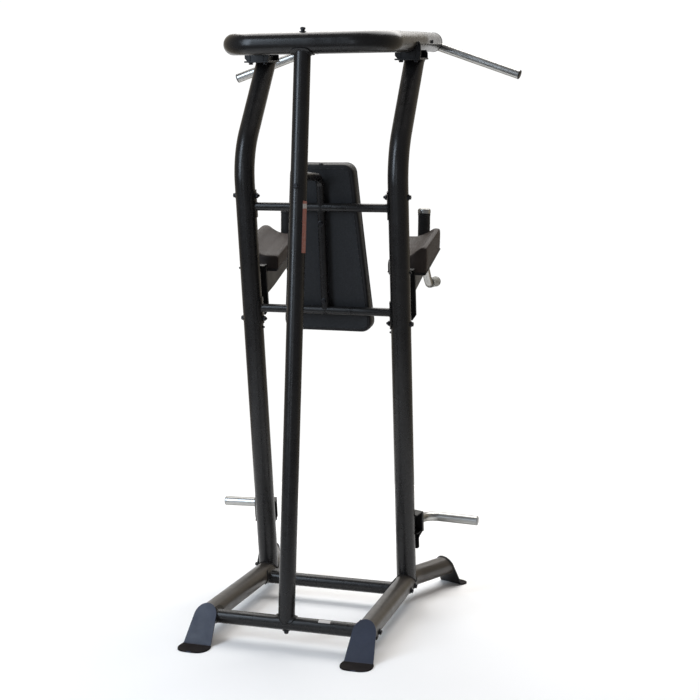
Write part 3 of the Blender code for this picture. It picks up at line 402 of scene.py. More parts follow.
class Shape:
    """Collects closed shells, then becomes one object that rides on the frame."""

    def __init__(self):
        self.verts, self.faces, self.groups = [], [], []

    def add(self, verts, faces):
        base = len(self.verts)
        self.verts += [vec(v) for v in verts]
        self.faces += [tuple(base + i for i in f) for f in faces]
        return self

    def loft(self, rings, loop=False):
        """Skin over rings of points, closed on itself or with a cap at either end."""
        n, count = len(rings[0]), len(rings)
        faces = []
        for r in range(count if loop else count - 1):
            a, b = r * n, (r + 1) % count * n
            faces += [(a + k, a + (k + 1) % n, b + (k + 1) % n, b + k) for k in range(n)]
        if not loop:
            faces += [tuple(range(n - 1, -1, -1)), tuple(range(n * count - n, n * count))]
        return self.add([v for ring in rings for v in ring], faces)

    def tube(self, path, radius, seg=48, wall=WALL, hint=Z, cut0=None, cut1=None,
             weld0=0.0, weld1=0.0):
        """Hollow tube; a cut trims that end to a surface and a weld adds a bead round it."""
        side, up = frame_from(path[0][1], hint)
        frames = [(side, up)]
        for (_, t0), (_, t1) in zip(path, path[1:]):
            side = t0.rotation_difference(t1) @ side
            side = (side - t1 * side.dot(t1)).normalized()
            frames.append((side, t1.cross(side)))
        layers = []
        for r in (radius, radius - wall):
            rings = [circle(pos, s, u, r, seg) for (pos, _), (s, u) in zip(path, frames)]
            if cut0:
                rings[0] = [trim(v, -path[0][1], cut0) for v in rings[0]]
            if cut1:
                rings[-1] = [trim(v, path[-1][1], cut1) for v in rings[-1]]
            layers.append(rings)
        outer, inner = layers
        self.loft(outer + inner[::-1], True)
        for ring, weld in ((outer[0], weld0), (outer[-1], weld1)):
            if weld:
                self.bead(ring, weld)
        return self

    def cord(self, loop, radii, seg):
        """Round cord along a closed loop of points, with a radius for each."""
        centre = sum(loop, Vector()) / len(loop)
        rings = []
        for k, (p, radius) in enumerate(zip(loop, radii)):
            tangent = (loop[(k + 1) % len(loop)] - loop[k - 1]).normalized()
            out = p - centre
            out = (out - tangent * out.dot(tangent)).normalized()
            rings.append(circle(p, out, tangent.cross(out), radius, seg))
        return self.loft(rings, True)

    def bead(self, loop, radius, pitch=0.005):
        """Rippled weld bead, four points to a ripple."""
        pts = resample(loop, pitch / 4)
        return self.cord(pts, [radius * (1 + 0.2 * cos(tau * (k % 4) / 4)
                                         + 0.12 * noise.noise(p * 90))
                               for k, p in enumerate(pts)], 8)

    def piping(self, loop, radius):
        pts = resample(loop, 0.004)
        return self.cord(pts, [radius] * len(pts), 10)

    def lathe(self, origin, axis, profile, seg=32, turn=0.0):
        """Turned solid from a profile of radius and distance along the axis."""
        origin, axis = vec(origin), vec(axis).normalized()
        side, up = frame_from(axis)
        verts, faces, rings = [], [], []
        for radius, dist in profile:
            centre = origin + axis * dist
            ring = circle(centre, side, up, radius, seg, turn) if radius > 1e-6 else [centre]
            rings.append(list(range(len(verts), len(verts) + len(ring))))
            verts += ring
        for a, b in zip(rings, rings[1:]):
            for k in range(seg):
                j = (k + 1) % seg
                if len(a) == 1:
                    faces.append((a[0], b[j], b[k]))
                elif len(b) == 1:
                    faces.append((a[k], a[j], b[0]))
                else:
                    faces.append((a[k], a[j], b[j], b[k]))
        if len(rings[0]) > 1:
            faces.append(tuple(reversed(rings[0])))
        if len(rings[-1]) > 1:
            faces.append(tuple(rings[-1]))
        return self.add(verts, faces)

    def prism(self, outline, origin, u, v, thick):
        origin, u, v = vec(origin), vec(u).normalized(), vec(v).normalized()
        ring = [origin + u * a + v * b for a, b in outline]
        return self.loft([ring, [p + u.cross(v) * thick for p in ring]])

    def strip(self, stations, across):
        """Flat bar through stations: middle, half width and the way to its other face."""
        return self.loft([[mid - across * half, mid + across * half, mid + back + across * half,
                           mid + back - across * half] for mid, half, back in stations])

    def saddle(self, centre, axis, out, radius, half_angle, half_len, cut=None):
        """Curved plate hugging a tube, narrowing towards its rounded far corners."""
        axis, out = vec(axis).normalized(), vec(out)
        out = (out - axis * out.dot(axis)).normalized()
        side = axis.cross(out)
        rings = []
        for k in range(29):
            t = -1 + 2 * k / 28
            s = abs(t)
            reach = half_len * (1 - 0.4 * max(0.0, s - 0.45) ** 1.5 / 0.55 ** 1.5)
            reach *= sqrt(max(0.0, 1 - max(0.0, (s - 0.86) / 0.16) ** 2))
            radial = out * cos(t * half_angle) + side * sin(t * half_angle)
            ring = []
            for r in (radius, radius + SHELL_T):
                near, far = centre + radial * r - axis * reach, centre + radial * r + axis * reach
                if cut:
                    end = trim(far, axis, cut)
                    if (end - far).dot(axis) < 0:
                        far = end
                ring.append((near, far))
            rings.append([ring[0][0], ring[0][1], ring[1][1], ring[1][0]])
        return self.loft(rings)

    def hex_bolt(self, origin, axis, head=0.0088, height=0.0068, washer=True, turn=0.0):
        """Chamfered hexagon head with a bearing face on a washer."""
        origin, axis = vec(origin), vec(axis).normalized()
        if washer:
            self.lathe(origin, axis, [(head * 1.18, 0.0), (head * 1.24, 0.0003),
                                      (head * 1.24, 0.0013), (head * 1.18, 0.0016)], 36)
            origin = origin + axis * 0.0014
        self.lathe(origin, axis, [(head * 0.9, 0.0), (head * 0.9, 0.0006)], 36)
        self.lathe(origin + axis * 0.0005, axis,
                   [(head * 0.95, 0.0), (head, 0.0005), (head, height * 0.8),
                    (head * 0.95, height * 0.9), (head * 0.84, height)], 6, turn)
        return self.lathe(origin + axis * height * 0.9, axis, [(head * 0.8, 0.0), (
            head * 0.78, height * 0.14), (0.0, height * 0.14)], 36)

    def nut_end(self, origin, axis, nut, rod, length):
        """Nut on a washer with the threaded end of its bolt standing out."""
        origin, axis = vec(origin), vec(axis).normalized()
        self.lathe(origin, axis, [(nut * 1.2, 0.0), (nut * 1.24, 0.0003),
                                  (nut * 1.24, 0.0013), (nut * 1.18, 0.0016)], 36)
        self.lathe(origin + axis * 0.0014, axis,
                   [(nut * 0.86, 0.0), (nut, 0.0009), (nut, 0.0062), (nut * 0.86, 0.0071)], 6)
        thread = 0.0006
        profile = [(rod * 0.9, 0.0)]
        profile += [(rod * (1.0 if k % 2 else 0.87), thread * (k + 1))
                    for k in range(int(length / thread))]
        profile += [(rod * 0.74, length + 0.0007), (0.0, length + 0.0008)]
        return self.lathe(origin + axis * 0.006, axis, profile, 18)

    def stitches(self, loop, centre, pitch, length, radius, closed=True):
        """Sewn stitches laid along a line of points that goes round a centre."""
        pts = resample(loop, pitch, closed)
        for k in range(len(pts) if closed else len(pts) - 1):
            a, b = pts[k], pts[(k + 1) % len(pts)]
            d = (b - a).normalized()
            out = a - centre
            out = (out - d * out.dot(d)).normalized()
            self.loft([circle((a + b) / 2 + d * t * length, out, d.cross(out), radius * r, 5)
                       for t, r in ((-0.5, 0.35), (-0.38, 0.9), (0.0, 1.1), (0.38, 0.9),
                                    (0.5, 0.35))])
        return self

    def make(self, name, look, nodes=None, bevel=0.0, sharp=32.0, sub=0, bevel_angle=38.0):
        """Make the object; it replaces the node of its own name unless others are given."""
        looks = [look] if isinstance(look, str) else look
        mesh = bpy.data.meshes.new(name)
        mesh.from_pydata([tuple(v) for v in self.verts], [], self.faces)
        for each in looks:
            mesh.materials.append(LOOKS[each][1])
        mesh.polygons.foreach_set("material_index", self.groups or [0] * len(self.faces))
        mesh.polygons.foreach_set("use_smooth", [True] * len(self.faces))
        bm = bmesh.new()
        bm.from_mesh(mesh)
        bmesh.ops.remove_doubles(bm, verts=bm.verts, dist=0.00001)
        bmesh.ops.dissolve_degenerate(bm, edges=bm.edges, dist=0.00001)
        bmesh.ops.recalc_face_normals(bm, faces=bm.faces)
        bm.to_mesh(mesh)
        bm.free()
        obj = place(name, mesh)
        if bevel:
            edge = obj.modifiers.new("edge", "BEVEL")
            edge.width, edge.segments = bevel, 3
            edge.limit_method = "ANGLE"
            edge.angle_limit = radians(bevel_angle)
            edge.use_clamp_overlap = True
            edge.harden_normals = False
        if sub:
            smooth = obj.modifiers.new("smooth", "SUBSURF")
            smooth.levels = smooth.render_levels = sub
        mesh.set_sharp_from_angle(angle=radians(sharp))
        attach(obj, "root")
        replaced = [name] if nodes is None else nodes
        if replaced:
            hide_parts(*replaced)
        return obj


# ---- base rails and foot plates
def foot_plate(name, look, at, out, lean, tongue):
    """Leaning plate with a round top, a bend at the floor and a rounded tongue; the lower bend and
    the tongue carry a dark, dull coat as painted shade.
    """
    normal, across = slanted(out, lean), Z.cross(out)
    down = normal.cross(across)
    down = -down if down.z > 0 else down
    inner = at + normal * GAP
    top_reach = MAIN_R / cos(lean) + 0.003
    stations = []
    for k in range(21):
        ang = radians(90 - 90 * k / 20)
        stations.append((inner - down * top_reach * sin(ang),
                         max(PLATE_TOP_R * cos(ang), 0.003), normal))
    leg_end = inner + down * ((inner.z - PLATE_BEND_R * (1 - sin(lean))) / -down.z)
    stations += [(inner.lerp(leg_end, k / 6),
                  PLATE_TOP_R + (LEG_HALF - PLATE_TOP_R) * (k / 6) ** 0.9, normal)
                 for k in range(1, 7)]
    centre = leg_end + normal * PLATE_BEND_R
    for k in range(1, 9):
        turned = slanted(out, lean + (pi / 2 - lean) * k / 8)
        stations.append((centre - turned * PLATE_BEND_R, LEG_HALF + HEEL_GROWTH * k / 8, turned))
    heel = stations[-1][0]
    flat = vec(heel.x, heel.y, 0)
    for k in range(1, 19):
        ang = radians(88.0 * k / 18)
        stations.append((flat + out * tongue * (0.25 + 0.75 * sin(ang)),
                         TOE_HALF * max(cos(ang), 0.02) ** 0.55, Z))
    plate = Shape().strip([(mid, half, up * PLATE_T) for mid, half, up in stations], across)
    # faces from the middle of the bend to the tip get the dark coat: painted shade
    painted_shade_from = len(stations) - 23
    plate.groups = [int(painted_shade_from <= face // 4 < len(stations) - 1)
                    for face in range(len(plate.faces))]
    plate.make(name, (look, "toe"), bevel=0.0012, bevel_angle=50.0)


for side, tag in SIDES:
    kink, rear_at = rail_point(side, RAIL_KINK[1]), rail_point(side, RAIL_REAR[1])
    front_at = vec(side * RAIL_FRONT[0], RAIL_FRONT[1], RAIL_Z)
    rear_out, front_out = rail_dir(side), (front_at - kink).normalized()
    rail = Shape()
    rail.tube(rounded_path([rear_at, kink, front_at], [0.2], [14]), MAIN_R, 56,
              cut0=("plane", rear_at, slanted(rear_out, REAR_LEAN)),
              cut1=("plane", front_at, slanted(front_out, FRONT_LEAN)),
              weld0=0.0024, weld1=0.0024)
    rail.make("base_rail_" + tag, "base")
    foot_plate("foot_plate_rear_" + tag, "plate", rear_at, rear_out, REAR_LEAN, REAR_TONGUE)
    foot_plate("foot_plate_front_" + tag, "dark_plate", front_at, front_out, FRONT_LEAN,
               FRONT_TONGUE)

# ---- base cross tubes, each saddled onto the rails; the rear saddles stop at the foot plates
for name, (y, z) in (("rear_crossbar", REAR_CROSS), ("front_crossbar", FRONT_CROSS)):
    bar = Shape()
    bar.tube(straight((-0.15, y, z), (0.15, y, z)), CROSS_R,
             cut0=("cyl", rail_point(-1, y), rail_dir(-1), MAIN_SEAT),
             cut1=("cyl", rail_point(1, y), rail_dir(1), MAIN_SEAT), weld0=0.0023, weld1=0.0023)
    for side, _ in SIDES:
        along, cut = rail_dir(side), None
        if name == "rear_crossbar":
            cut = ("plane", rail_point(side, RAIL_REAR[1]) - along * 0.002,
                   slanted(along, REAR_LEAN))
        bar.saddle(rail_point(side, y), along, (-side, 0, (z - RAIL_Z) * 20), MAIN_R + GAP,
                   radians(52), 0.046, cut)
    bar.make(name, "frame", bevel=0.0007)

# ---- bolts through the base rails
for side, tag in SIDES:
    bolts = Shape()
    for y, z in BASE_BOLTS:
        drop = (z - RAIL_Z) / MAIN_R
        out = vec(side * sqrt(1 - drop * drop), 0, drop)
        at = rail_point(side, y)
        bolts.lathe(at + out * (MAIN_R - 0.003), out,
                    mm((12.8, 0), (12.8, 4), (11.8, 5.2), (9, 5.4)), 36)
        bolts.hex_bolt(at + out * (MAIN_R + 0.002), out, 0.0088, 0.007, turn=0.3 + y)
    bolts.make("base_bolts_" + tag, "steel", ["rear_crossbar_bolt_" + tag])

# ---- uprights
for side, tag in SIDES:
    foot, bend = flip(side, UP_FOOT), flip(side, UP_BEND)
    top = flip(side, (*UP_TOP, arm_z(UP_TOP[1]) - (BRACKET_DEPTH + GAP) / cos(ARM_RISE)))
    start = foot + (bend - foot).normalized() * 0.1
    post = Shape()
    post.tube(rounded_path([start, bend, top], [UP_BEND_R], [22]), MAIN_R, 56,
              cut0=("cyl", rail_point(side, UP_FOOT[1]), rail_dir(side), MAIN_R + 0.0004),
              cut1=("plane", top, ARM_UP), weld0=0.0032, weld1=0.0018)
    post.make("upright_" + tag, "frame")

# ---- top frame
corner, bend = (TOP_BEND[0], *TOP_REAR), (*TOP_BEND, arm_z(TOP_BEND[1]))
top = Shape()
top.tube(rounded_path([flip(-1, TOP_END), flip(-1, bend), flip(-1, corner), corner, bend, TOP_END],
                      [TOP_ARM_R, TOP_CORNER_R, TOP_CORNER_R, TOP_ARM_R], [6, 26, 26, 6]),
         MAIN_R, 56)
top.make("top_frame", "frame", bevel=0.0006)

for side, tag in SIDES:
    end, bend_at = flip(side, TOP_END), flip(side, bend)
    end_dir = (end - bend_at).normalized()
    plate = Shape()
    plate.lathe(end + end_dir * GAP, end_dir,
                [(MAIN_R - 0.001, -0.001), (MAIN_R + 0.0001, 0.0), (MAIN_R + 0.0001, 0.002),
                 (MAIN_R - 0.0012, 0.0032), (MAIN_R * 0.9, 0.0034), (0.0, 0.0035)], 56)
    plate.bead(circle(end, *frame_from(end_dir), MAIN_R + 0.0001, 56), 0.0012, 0.004)
    plate.make("arm_end_plate_" + tag, "frame")

    # bolt head on the outer face of the arm
    axis_at = end.lerp(bend_at, (ARM_BOLT_Y - TOP_END[1]) / (TOP_BEND[1] - TOP_END[1]))
    out = end_dir.cross(Z).normalized()
    out = out if out.x * side > 0 else -out
    bolt = Shape()
    bolt.hex_bolt(axis_at + out * (MAIN_R - 0.0006), out, 0.007, 0.0076, washer=False, turn=0.5)
    bolt.make("arm_bolt_" + tag, "steel", ())

# ---- brackets under the top frame
for side, tag in SIDES:
    body = Shape()
    origin = vec(side * TOP_BEND[0], BRACKET_Y, arm_z(BRACKET_Y))
    floor_mid = origin - ARM_UP * 0.06
    half, far, chamfer = BRACKET_HALF, BRACKET_LEN, 0.012
    body.prism([(-half, 0.0), (half, 0.0), (half, far - chamfer), (half - chamfer, far),
                (chamfer - half, far), (-half, far - chamfer)], floor_mid, X, ARM_DIR, 0.006)
    arc_r, low = MAIN_R + 0.0006, -0.061
    # the rear cradle holds half of the tube, the front one less of it
    for along, top_h, cut in ((0.0, 0.0, 0.011), (0.111, -0.031, 0.0)):
        begin = asin(top_h / arc_r)
        sweep = [begin + (-pi - 2 * begin) * k / 28 for k in range(29)]
        edge = [(half - cut, low - 0.001), (half, low + cut)] if cut else [(half, low)]
        edge += [(half, top_h - 0.01)]
        edge += [(half - 0.0015 - 0.001 * k, top_h - 0.01 + 0.01 * k / 3) for k in (1, 2, 3)]
        mirrored = [(-x, h) for x, h in edge]
        body.prism(mirrored[:1] + edge + [(arc_r * cos(a), arc_r * sin(a)) for a in sweep]
                   + mirrored[:0:-1], origin + ARM_DIR * (along + 0.006), X, ARM_UP, 0.006)
    # stiffening webs between the two cradles
    for dx in (-1, 1):
        body.prism(mm((4, -60), (114, -60), (114, -42), (60, -46), (4, -33)),
                   origin + X * (dx * 0.027 + 0.002), ARM_DIR, ARM_UP, 0.004)
    body.make("top_bracket_" + tag, "bracket", bevel=0.0009)

    bolts = Shape()
    for dx in (-0.0285, 0.0285):
        for along in (0.019, 0.129):
            bolts.hex_bolt(floor_mid + X * dx + ARM_DIR * along - ARM_UP * 0.006, -ARM_UP,
                           0.0082, 0.0062, turn=dx * 30)
        bolts.hex_bolt(origin + X * dx + ARM_DIR * 0.117 - ARM_UP * 0.0455, ARM_DIR, 0.0074,
                       0.0056, turn=0.4)
    bolts.make("top_bracket_bolts_" + tag, "steel", ())


# ---- pull-up bar
def end_plug(name, tip, direction, look="plug"):
    """Ribbed plug pressed into a tube: spigot, seating lip and shallow domed face."""
    inner, r = CHROME_R - THIN_WALL, CHROME_R
    plug = Shape()
    plug.lathe(tip, direction,
               [(inner - 0.0012, -0.013), (inner - 0.0003, -0.01), (inner - 0.0009, -0.008),
                (inner - 0.0003, -0.006), (inner - 0.0009, -0.004), (inner - 0.0009, GAP),
                (r + 0.0001, GAP), (r + 0.0004, 0.0008), (r + 0.0002, 0.0024), (r - 0.0012, 0.004),
                (r * 0.75, 0.0049), (r * 0.72, 0.0046), (r * 0.4, 0.0053), (0.0, 0.0056)], 40)
    plug.make(name, look)


pull = Shape()
pull.tube(rounded_path([flip(-1, PULL_TIP), flip(-1, PULL_MID), PULL_MID, PULL_TIP],
                       [PULL_BEND_R] * 2, [14, 14]), CHROME_R, 40, THIN_WALL)
pull.make("pull_up_bar", "chrome", bevel=0.0006)
for side, tag in SIDES:
    tip = flip(side, PULL_TIP)
    end_plug("pull_up_cap_" + tag, tip, tip - flip(side, PULL_MID), "dark_plug")

# ---- centre post
post_low, post_high = vec(0, *REAR_CROSS), vec(0, *TOP_REAR)
post_dir = (post_high - post_low).normalized()
post_rear = vec(0, post_dir.z, -post_dir.y)
post = Shape()
post.tube(straight(post_low + post_dir * 0.1, post_high - post_dir * 0.1, 4), POST_R, hint=X,
          cut0=("cyl", post_low, X, CROSS_SEAT), cut1=("cyl", post_high, X, MAIN_SEAT),
          weld0=0.0024, weld1=0.0024)
post.saddle(post_low, X, post_dir, CROSS_R + GAP, radians(76), 0.037)
post.saddle(post_high, X, -post_dir, MAIN_R + GAP, radians(56), 0.04)
post.make("centre_post", "frame", bevel=0.0007)


def post_point(z):
    return post_low + post_dir * ((z - post_low.z) / post_dir.z)


def film(name, look, ends, radius, a, b, turn, sweep, steps):
    """Blank film wrapped round part of a tube, turned from a towards b, in degrees."""
    rings = []
    for k in range(steps + 1):
        ang = radians(turn + sweep * k / steps)
        radial = a * cos(ang) + b * sin(ang)
        inner, outer = radial * (radius + 0.0001), radial * (radius + 0.0004)
        rings.append([ends[0] + inner, ends[1] + inner, ends[1] + outer, ends[0] + outer])
    Shape().loft(rings).make(name, look, ())


nut_at, foot_at = post_high + Z * MAIN_R, post_low - Z * CROSS_R
bits = Shape()
bits.lathe(nut_at, Z, mm((12.2, -1.2), (12.6, 0.4), (12.2, 2), (8, 2.6), (7.2, 3.4),
                         (7.2, 8.8)), 36)
bits.lathe(nut_at + Z * 0.0084, Z,
           mm((9, 0), (9.8, 0.8), (9.8, 5.8), (8.6, 7)), 6)
bits.lathe(nut_at + Z * 0.015, Z, mm((8.2, -0.6), (8, 0.8), (6, 2), (3, 2.7), (0, 2.9)), 28)
bits.make("post_top_nut", "steel")
bits = Shape()
bits.lathe(foot_at, -Z, mm((13.5, -1), (13.8, 0.4), (13.8, 1.8), (13, 2.2)),
           36)
bits.lathe(foot_at - Z * 0.002, -Z,
           mm((8.4, 0), (9.6, 0.8), (9.6, 7.2), (8.6, 8)), 6)
bits.lathe(foot_at - Z * 0.0098, -Z, mm((7.6, -1), (7.6, 1), (6.6, 3.6), (3.6, 5), (0, 5.4)), 28)
bits.make("post_foot_bolt", "steel")
bits = Shape()
bits.hex_bolt(post_point(1.63) + post_rear * (POST_R - 0.0006), post_rear, 0.0088, 0.0062, turn=0.2)
bits.make("post_rear_bolt", "steel")
film("post_label", "label", [post_point(z) for z in LABEL_Z], POST_R, post_rear, X, -106, 54, 16)
film("crossbar_label", "label_white", [post_low + X * x for x in (-0.168, -0.124)], CROSS_R,
     Y, Z, 50, 34, 12)

# ---- backrest frame
spine = Shape()
spine_end = vec(0, post_point(1.66).y - 0.06, SPINE_END_Z)
spine.tube(rounded_path([spine_point(BACK_LOW_Z), spine_point(SPINE_TOP_Z), spine_end],
                        [SPINE_BEND_R], [16]), SPINE_R, 40, THIN_WALL, hint=X,
           cut1=("cyl", post_low, post_dir, POST_R + 0.0002), weld1=0.0022)
spine.lathe(spine_point(BACK_LOW_Z), -UP_DIR,
            [(SPINE_R - 0.0008, -0.001), (SPINE_R, 0.0), (SPINE_R, 0.0012),
             (SPINE_R - 0.0012, 0.0024), (0.0, 0.0028)], 40)
spine.make("backrest_spine", "frame")

for name, z, lift in (("backrest_crossbar_upper_", BACK_UP_Z, 0.01),
                      ("backrest_crossbar_lower_", BACK_LOW_Z, -0.01)):
    for side, tag in SIDES:
        at = upright_axis(z, side)
        along = (upright_axis(1.0, side) - upright_axis(0.0, side)).normalized()
        bar = Shape()
        bar.tube(straight((side * 0.06, at.y, z), (side * 0.2, at.y, z)), BAR_R, 40, THIN_WALL,
                 cut0=("cyl", spine_point(z), UP_DIR, SPINE_R - 0.0002),
                 cut1=("cyl", at, along, MAIN_SEAT), weld0=0.0018, weld1=0.0021)
        bar.saddle(at + along * lift, along, (-side, 0, 0), MAIN_R + GAP, radians(46), 0.052)
        bar.make(name + tag, "frame", bevel=0.0007)

for side, tag in SIDES:
    bolts = Shape()
    for z in BACK_BOLT_Z:
        at, out = upright_axis(z, side), X * side
        bolts.lathe(at + out * (MAIN_R - 0.0024), out,
                    mm((12.5, 0), (12.5, 2.8), (11.2, 4), (9, 4.2)), 36)
        bolts.hex_bolt(at + out * (MAIN_R + 0.0012), out, turn=z)
        bolts.nut_end(at - out * (MAIN_R + SHELL_T + 0.0002), -out, 0.0096, 0.0052, 0.007)
    # screws on the outer face and on the inner face
    for z, out in ((1.319, X * side), (1.091, -X * side)):
        bolts.lathe(upright_axis(z, side) + out * (MAIN_R - 0.0008), out,
                    mm((6.4, 0), (6.4, 1.4), (4.6, 2.2), (4, 2.4), (4, 6.4), (3, 7.2),
                       (0, 7.3)), 24)
    bolts.make("backrest_bolts_" + tag, "steel",
               ["backrest_bolt_upper_" + tag, "backrest_bolt_lower_" + tag])

bolts = Shape()
for z in SPINE_BOLT_Z:
    bolts.hex_bolt(spine_point(z) - UP_FRONT * (SPINE_R - 0.0008), -UP_FRONT, 0.0088, 0.0062,
                   turn=z)
bolts.make("spine_bolts", "steel", ["spine_bolt_upper", "spine_bolt_lower"])


# ---- backrest cushion
def rounded_taper(half_top, half_bottom, half_height, corner, n=9, edge=13):
    """Tapered outline with rounded corners and evenly divided sides."""
    corners = [vec(half_bottom, -half_height, 0), vec(half_top, half_height, 0),
               vec(-half_top, half_height, 0), vec(-half_bottom, -half_height, 0)]
    arcs = []
    for i, p in enumerate(corners):
        a, b = (corners[i - 1] - p).normalized(), (corners[(i + 1) % 4] - p).normalized()
        ang = a.angle(b)
        mid = p + (a + b).normalized() * (corner / sin(ang / 2))
        v0 = p + a * corner / tan(ang / 2) - mid
        v1 = p + b * corner / tan(ang / 2) - mid
        sweep = v0.angle(v1)
        arcs.append([mid + (v0 * sin(sweep * (1 - k / n)) + v1 * sin(sweep * k / n))
                     / sin(sweep) for k in range(n + 1)])
    out = []
    for arc, nxt in zip(arcs, arcs[1:] + arcs[:1]):
        out += arc + [arc[-1].lerp(nxt[0], k / edge) for k in range(1, edge)]
    return [(q.x, q.y) for q in out]


back_mid = spine_point(BACK_MID_Z)
board_off = 0.016 + GAP


def back_ring(grow, height, pull=0.0, ripple=0.0):
    """One outline of the backrest; sides may pull in between the corners."""
    ring = []
    for a, b in rounded_taper(BACK_TOP + grow, BACK_BOTTOM + grow, BACK_HALF + grow,
                              max(0.036 + grow, 0.01)):
        half_w = BACK_BOTTOM + (BACK_TOP - BACK_BOTTOM) * (b + BACK_HALF) / (2 * BACK_HALF)
        inward = pull * (1 - (b / BACK_HALF) ** 2) * (abs(a) / half_w) ** 4
        inward_b = pull * (1 - (a / half_w) ** 2) * (abs(b) / BACK_HALF) ** 6
        a -= copysign(inward, a)
        b -= copysign(inward_b, b)
        w = height
        if ripple:
            w += ripple * noise.noise(vec(a * 34, b * 34, height * 60))
            w += 0.4 * ripple * noise.noise(vec(a * 110, b * 110, 3.0))
        ring.append(back_mid + X * a + UP_DIR * b + UP_FRONT * w)
    return ring


cushion = Shape()
# outlines from the back edge to the crown: growth, height, pull and ripple
layers = mm((-13, 0.6, 0, 0), (-6, 0, 0, 0), (-2, 0.7, 0, 0), (1, 3, 0, 0), (3, 7.5, 0.6, 0),
            (4.3, 15, 1.2, 0), (5, 25, 2, 0), (5, 36, 2.2, 0.2), (4, 45, 1.8, 0.2),
            (2.6, 50, 1.4, 0.2), (1.8, 51.3, 1.2, 0.2), (1.2, 50.8, 1, 0.2), (-0.4, 52.4, 1, 0.3),
            (-4, 56.8, 0.8, 0.6), (-10, 61.2, 0.6, 0.9), (-19, 65, 0, 1.1), (-31, 67.6, 0, 1.2),
            (-46, 69.4, 0, 1.2), (-62, 70.5, 0, 1.2), (-78, 71.1, 0, 1.1), (-92, 71.3, 0, 0.9),
            (-101, 71.4, 0, 0.6))
cushion.loft([back_ring(g, board_off + h - 0.0003, p, r) for g, h, p, r in layers])
cushion.make("backrest_cushion", "back_vinyl", ["backrest_pad"], sharp=60, sub=1)
seam = Shape()
seam.stitches(back_ring(-0.0052, board_off + 0.0584, 0.0008), back_mid, 0.0062, 0.0042, 0.0005)
seam.make("backrest_stitching", "thread", ())
piping = Shape()
piping.piping(back_ring(0.002, board_off + 0.0508, 0.0012), 0.0021)
piping.make("backrest_piping", "back_vinyl", (), sharp=80)

# backing board with its stapled dust cloth
board = Shape()
board.loft([back_ring(g, board_off + h) for g, h in
            mm((-9.8, 0.6), (-9.8, -1.3), (-11, -1.9), (-13.6, -1.8), (-15, -1.2), (-50, -0.8),
               (-90, -0.6))])
board.make("backrest_board", "cloth", sharp=50)
staples = Shape()
line = resample(back_ring(-0.0118, board_off - 0.0021), 0.026)
for k, p in enumerate(line):
    d = (line[(k + 1) % len(line)] - line[k - 1]).normalized()
    d = (d + UP_FRONT.cross(d) * 0.35 * noise.noise(vec(k * 3.1, 0.4, 0.9))).normalized()
    staples.prism(mm((-5, -0.4), (5, -0.4), (5, 0.4), (-5, 0.4)),
                  p, d, UP_FRONT.cross(d), -0.0006)
staples.make("backrest_staples", "staple", (), bevel=0.0001)
tab = Shape()
tab.lathe(back_mid + UP_DIR * (BACK_HALF + 0.003) + UP_FRONT * (board_off + 0.006), UP_DIR,
          mm((7.5, -2), (7.8, 1), (7, 3.4), (4.5, 5), (0, 5.6)), 24)
tab.make("backrest_top_button", "dark_plug", ())


# ---- arm rests
def cross_plate(body, centre, face, half_w, depth_back):
    """Plate across an upright with a round cut-out for the tube."""
    radius = MAIN_R + 0.0012
    begin = asin(depth_back / radius)
    arc = []
    for k in range(24, -1, -1):
        ang = begin + (pi - 2 * begin) * k / 24
        arc.append((radius * cos(ang), radius * sin(ang)))
    body.prism([(half_w, depth_back), (half_w, 0.061), (-half_w, 0.061), (-half_w, depth_back)]
               + arc, centre, UP_DIR.cross(face), face, 0.004)


def soften(points, keep=0.22):
    """Cut the corners of a closed line of 2-D points."""
    out = []
    for p, q in zip(points, points[1:] + points[:1]):
        out += [(p[0] + (q[0] - p[0]) * keep, p[1] + (q[1] - p[1]) * keep),
                (q[0] - (q[0] - p[0]) * keep, q[1] - (q[1] - p[1]) * keep)]
    return out


RIDGE = 13


def arm_section(y, inset):
    """Cross section of an arm pad: a flat inner half that sweeps up to an outer ridge."""
    t = (PAD_REAR_Y - y) / (PAD_REAR_Y - PAD_FRONT_Y)
    h_in = 0.052 - 0.003 * t - inset * 1.2
    h_out = 0.095 - 0.014 * t - inset * 1.2
    a, b = PAD_IN + inset, PAD_OUT - inset
    width, rise = b - a, h_out - h_in
    flat, ridge = a + width * 0.42, b - 0.019 - 0.002 * t
    dip = 0.0016 * sin(pi * min(max(t, 0.0), 1.0))
    return [(a + 0.001, -0.003), (a - 0.0003, 0.001), (a - 0.001, h_in * 0.45),
            (a, h_in - 0.012), (a + 0.003, h_in - 0.0035), (a + 0.012, h_in + 0.0004),
            (a + width * 0.2, h_in - dip), (flat - 0.008, h_in - dip + 0.0002),
            (flat + 0.006, h_in + 0.004), (a + width * 0.55, h_in + rise * 0.24),
            (a + width * 0.66, h_in + rise * 0.47), (a + width * 0.77, h_in + rise * 0.8),
            (ridge - 0.006, h_out - 0.0022), (ridge + 0.004, h_out + 0.0006),
            (b - 0.003, h_out - 0.0016), (b + 0.0006, h_out - 0.008), (b + 0.0012, h_out * 0.5),
            (b, 0.006), (b - 0.0012, -0.003), (a + width * 0.66, -0.004),
            (a + width * 0.33, -0.004)]


def ribs(count, start, pitch, low, high, top):
    """Profile of evenly spaced ribs with flat tops."""
    return [(r, start + pitch * k + z) for k in range(count)
            for r, z in ((low, 0.0), (high, 0.0008), (high, top), (low, top + 0.0008))]


def turned(name, look, origin, axis, profile):
    Shape().lathe(origin, axis, profile, 48).make(name, look)


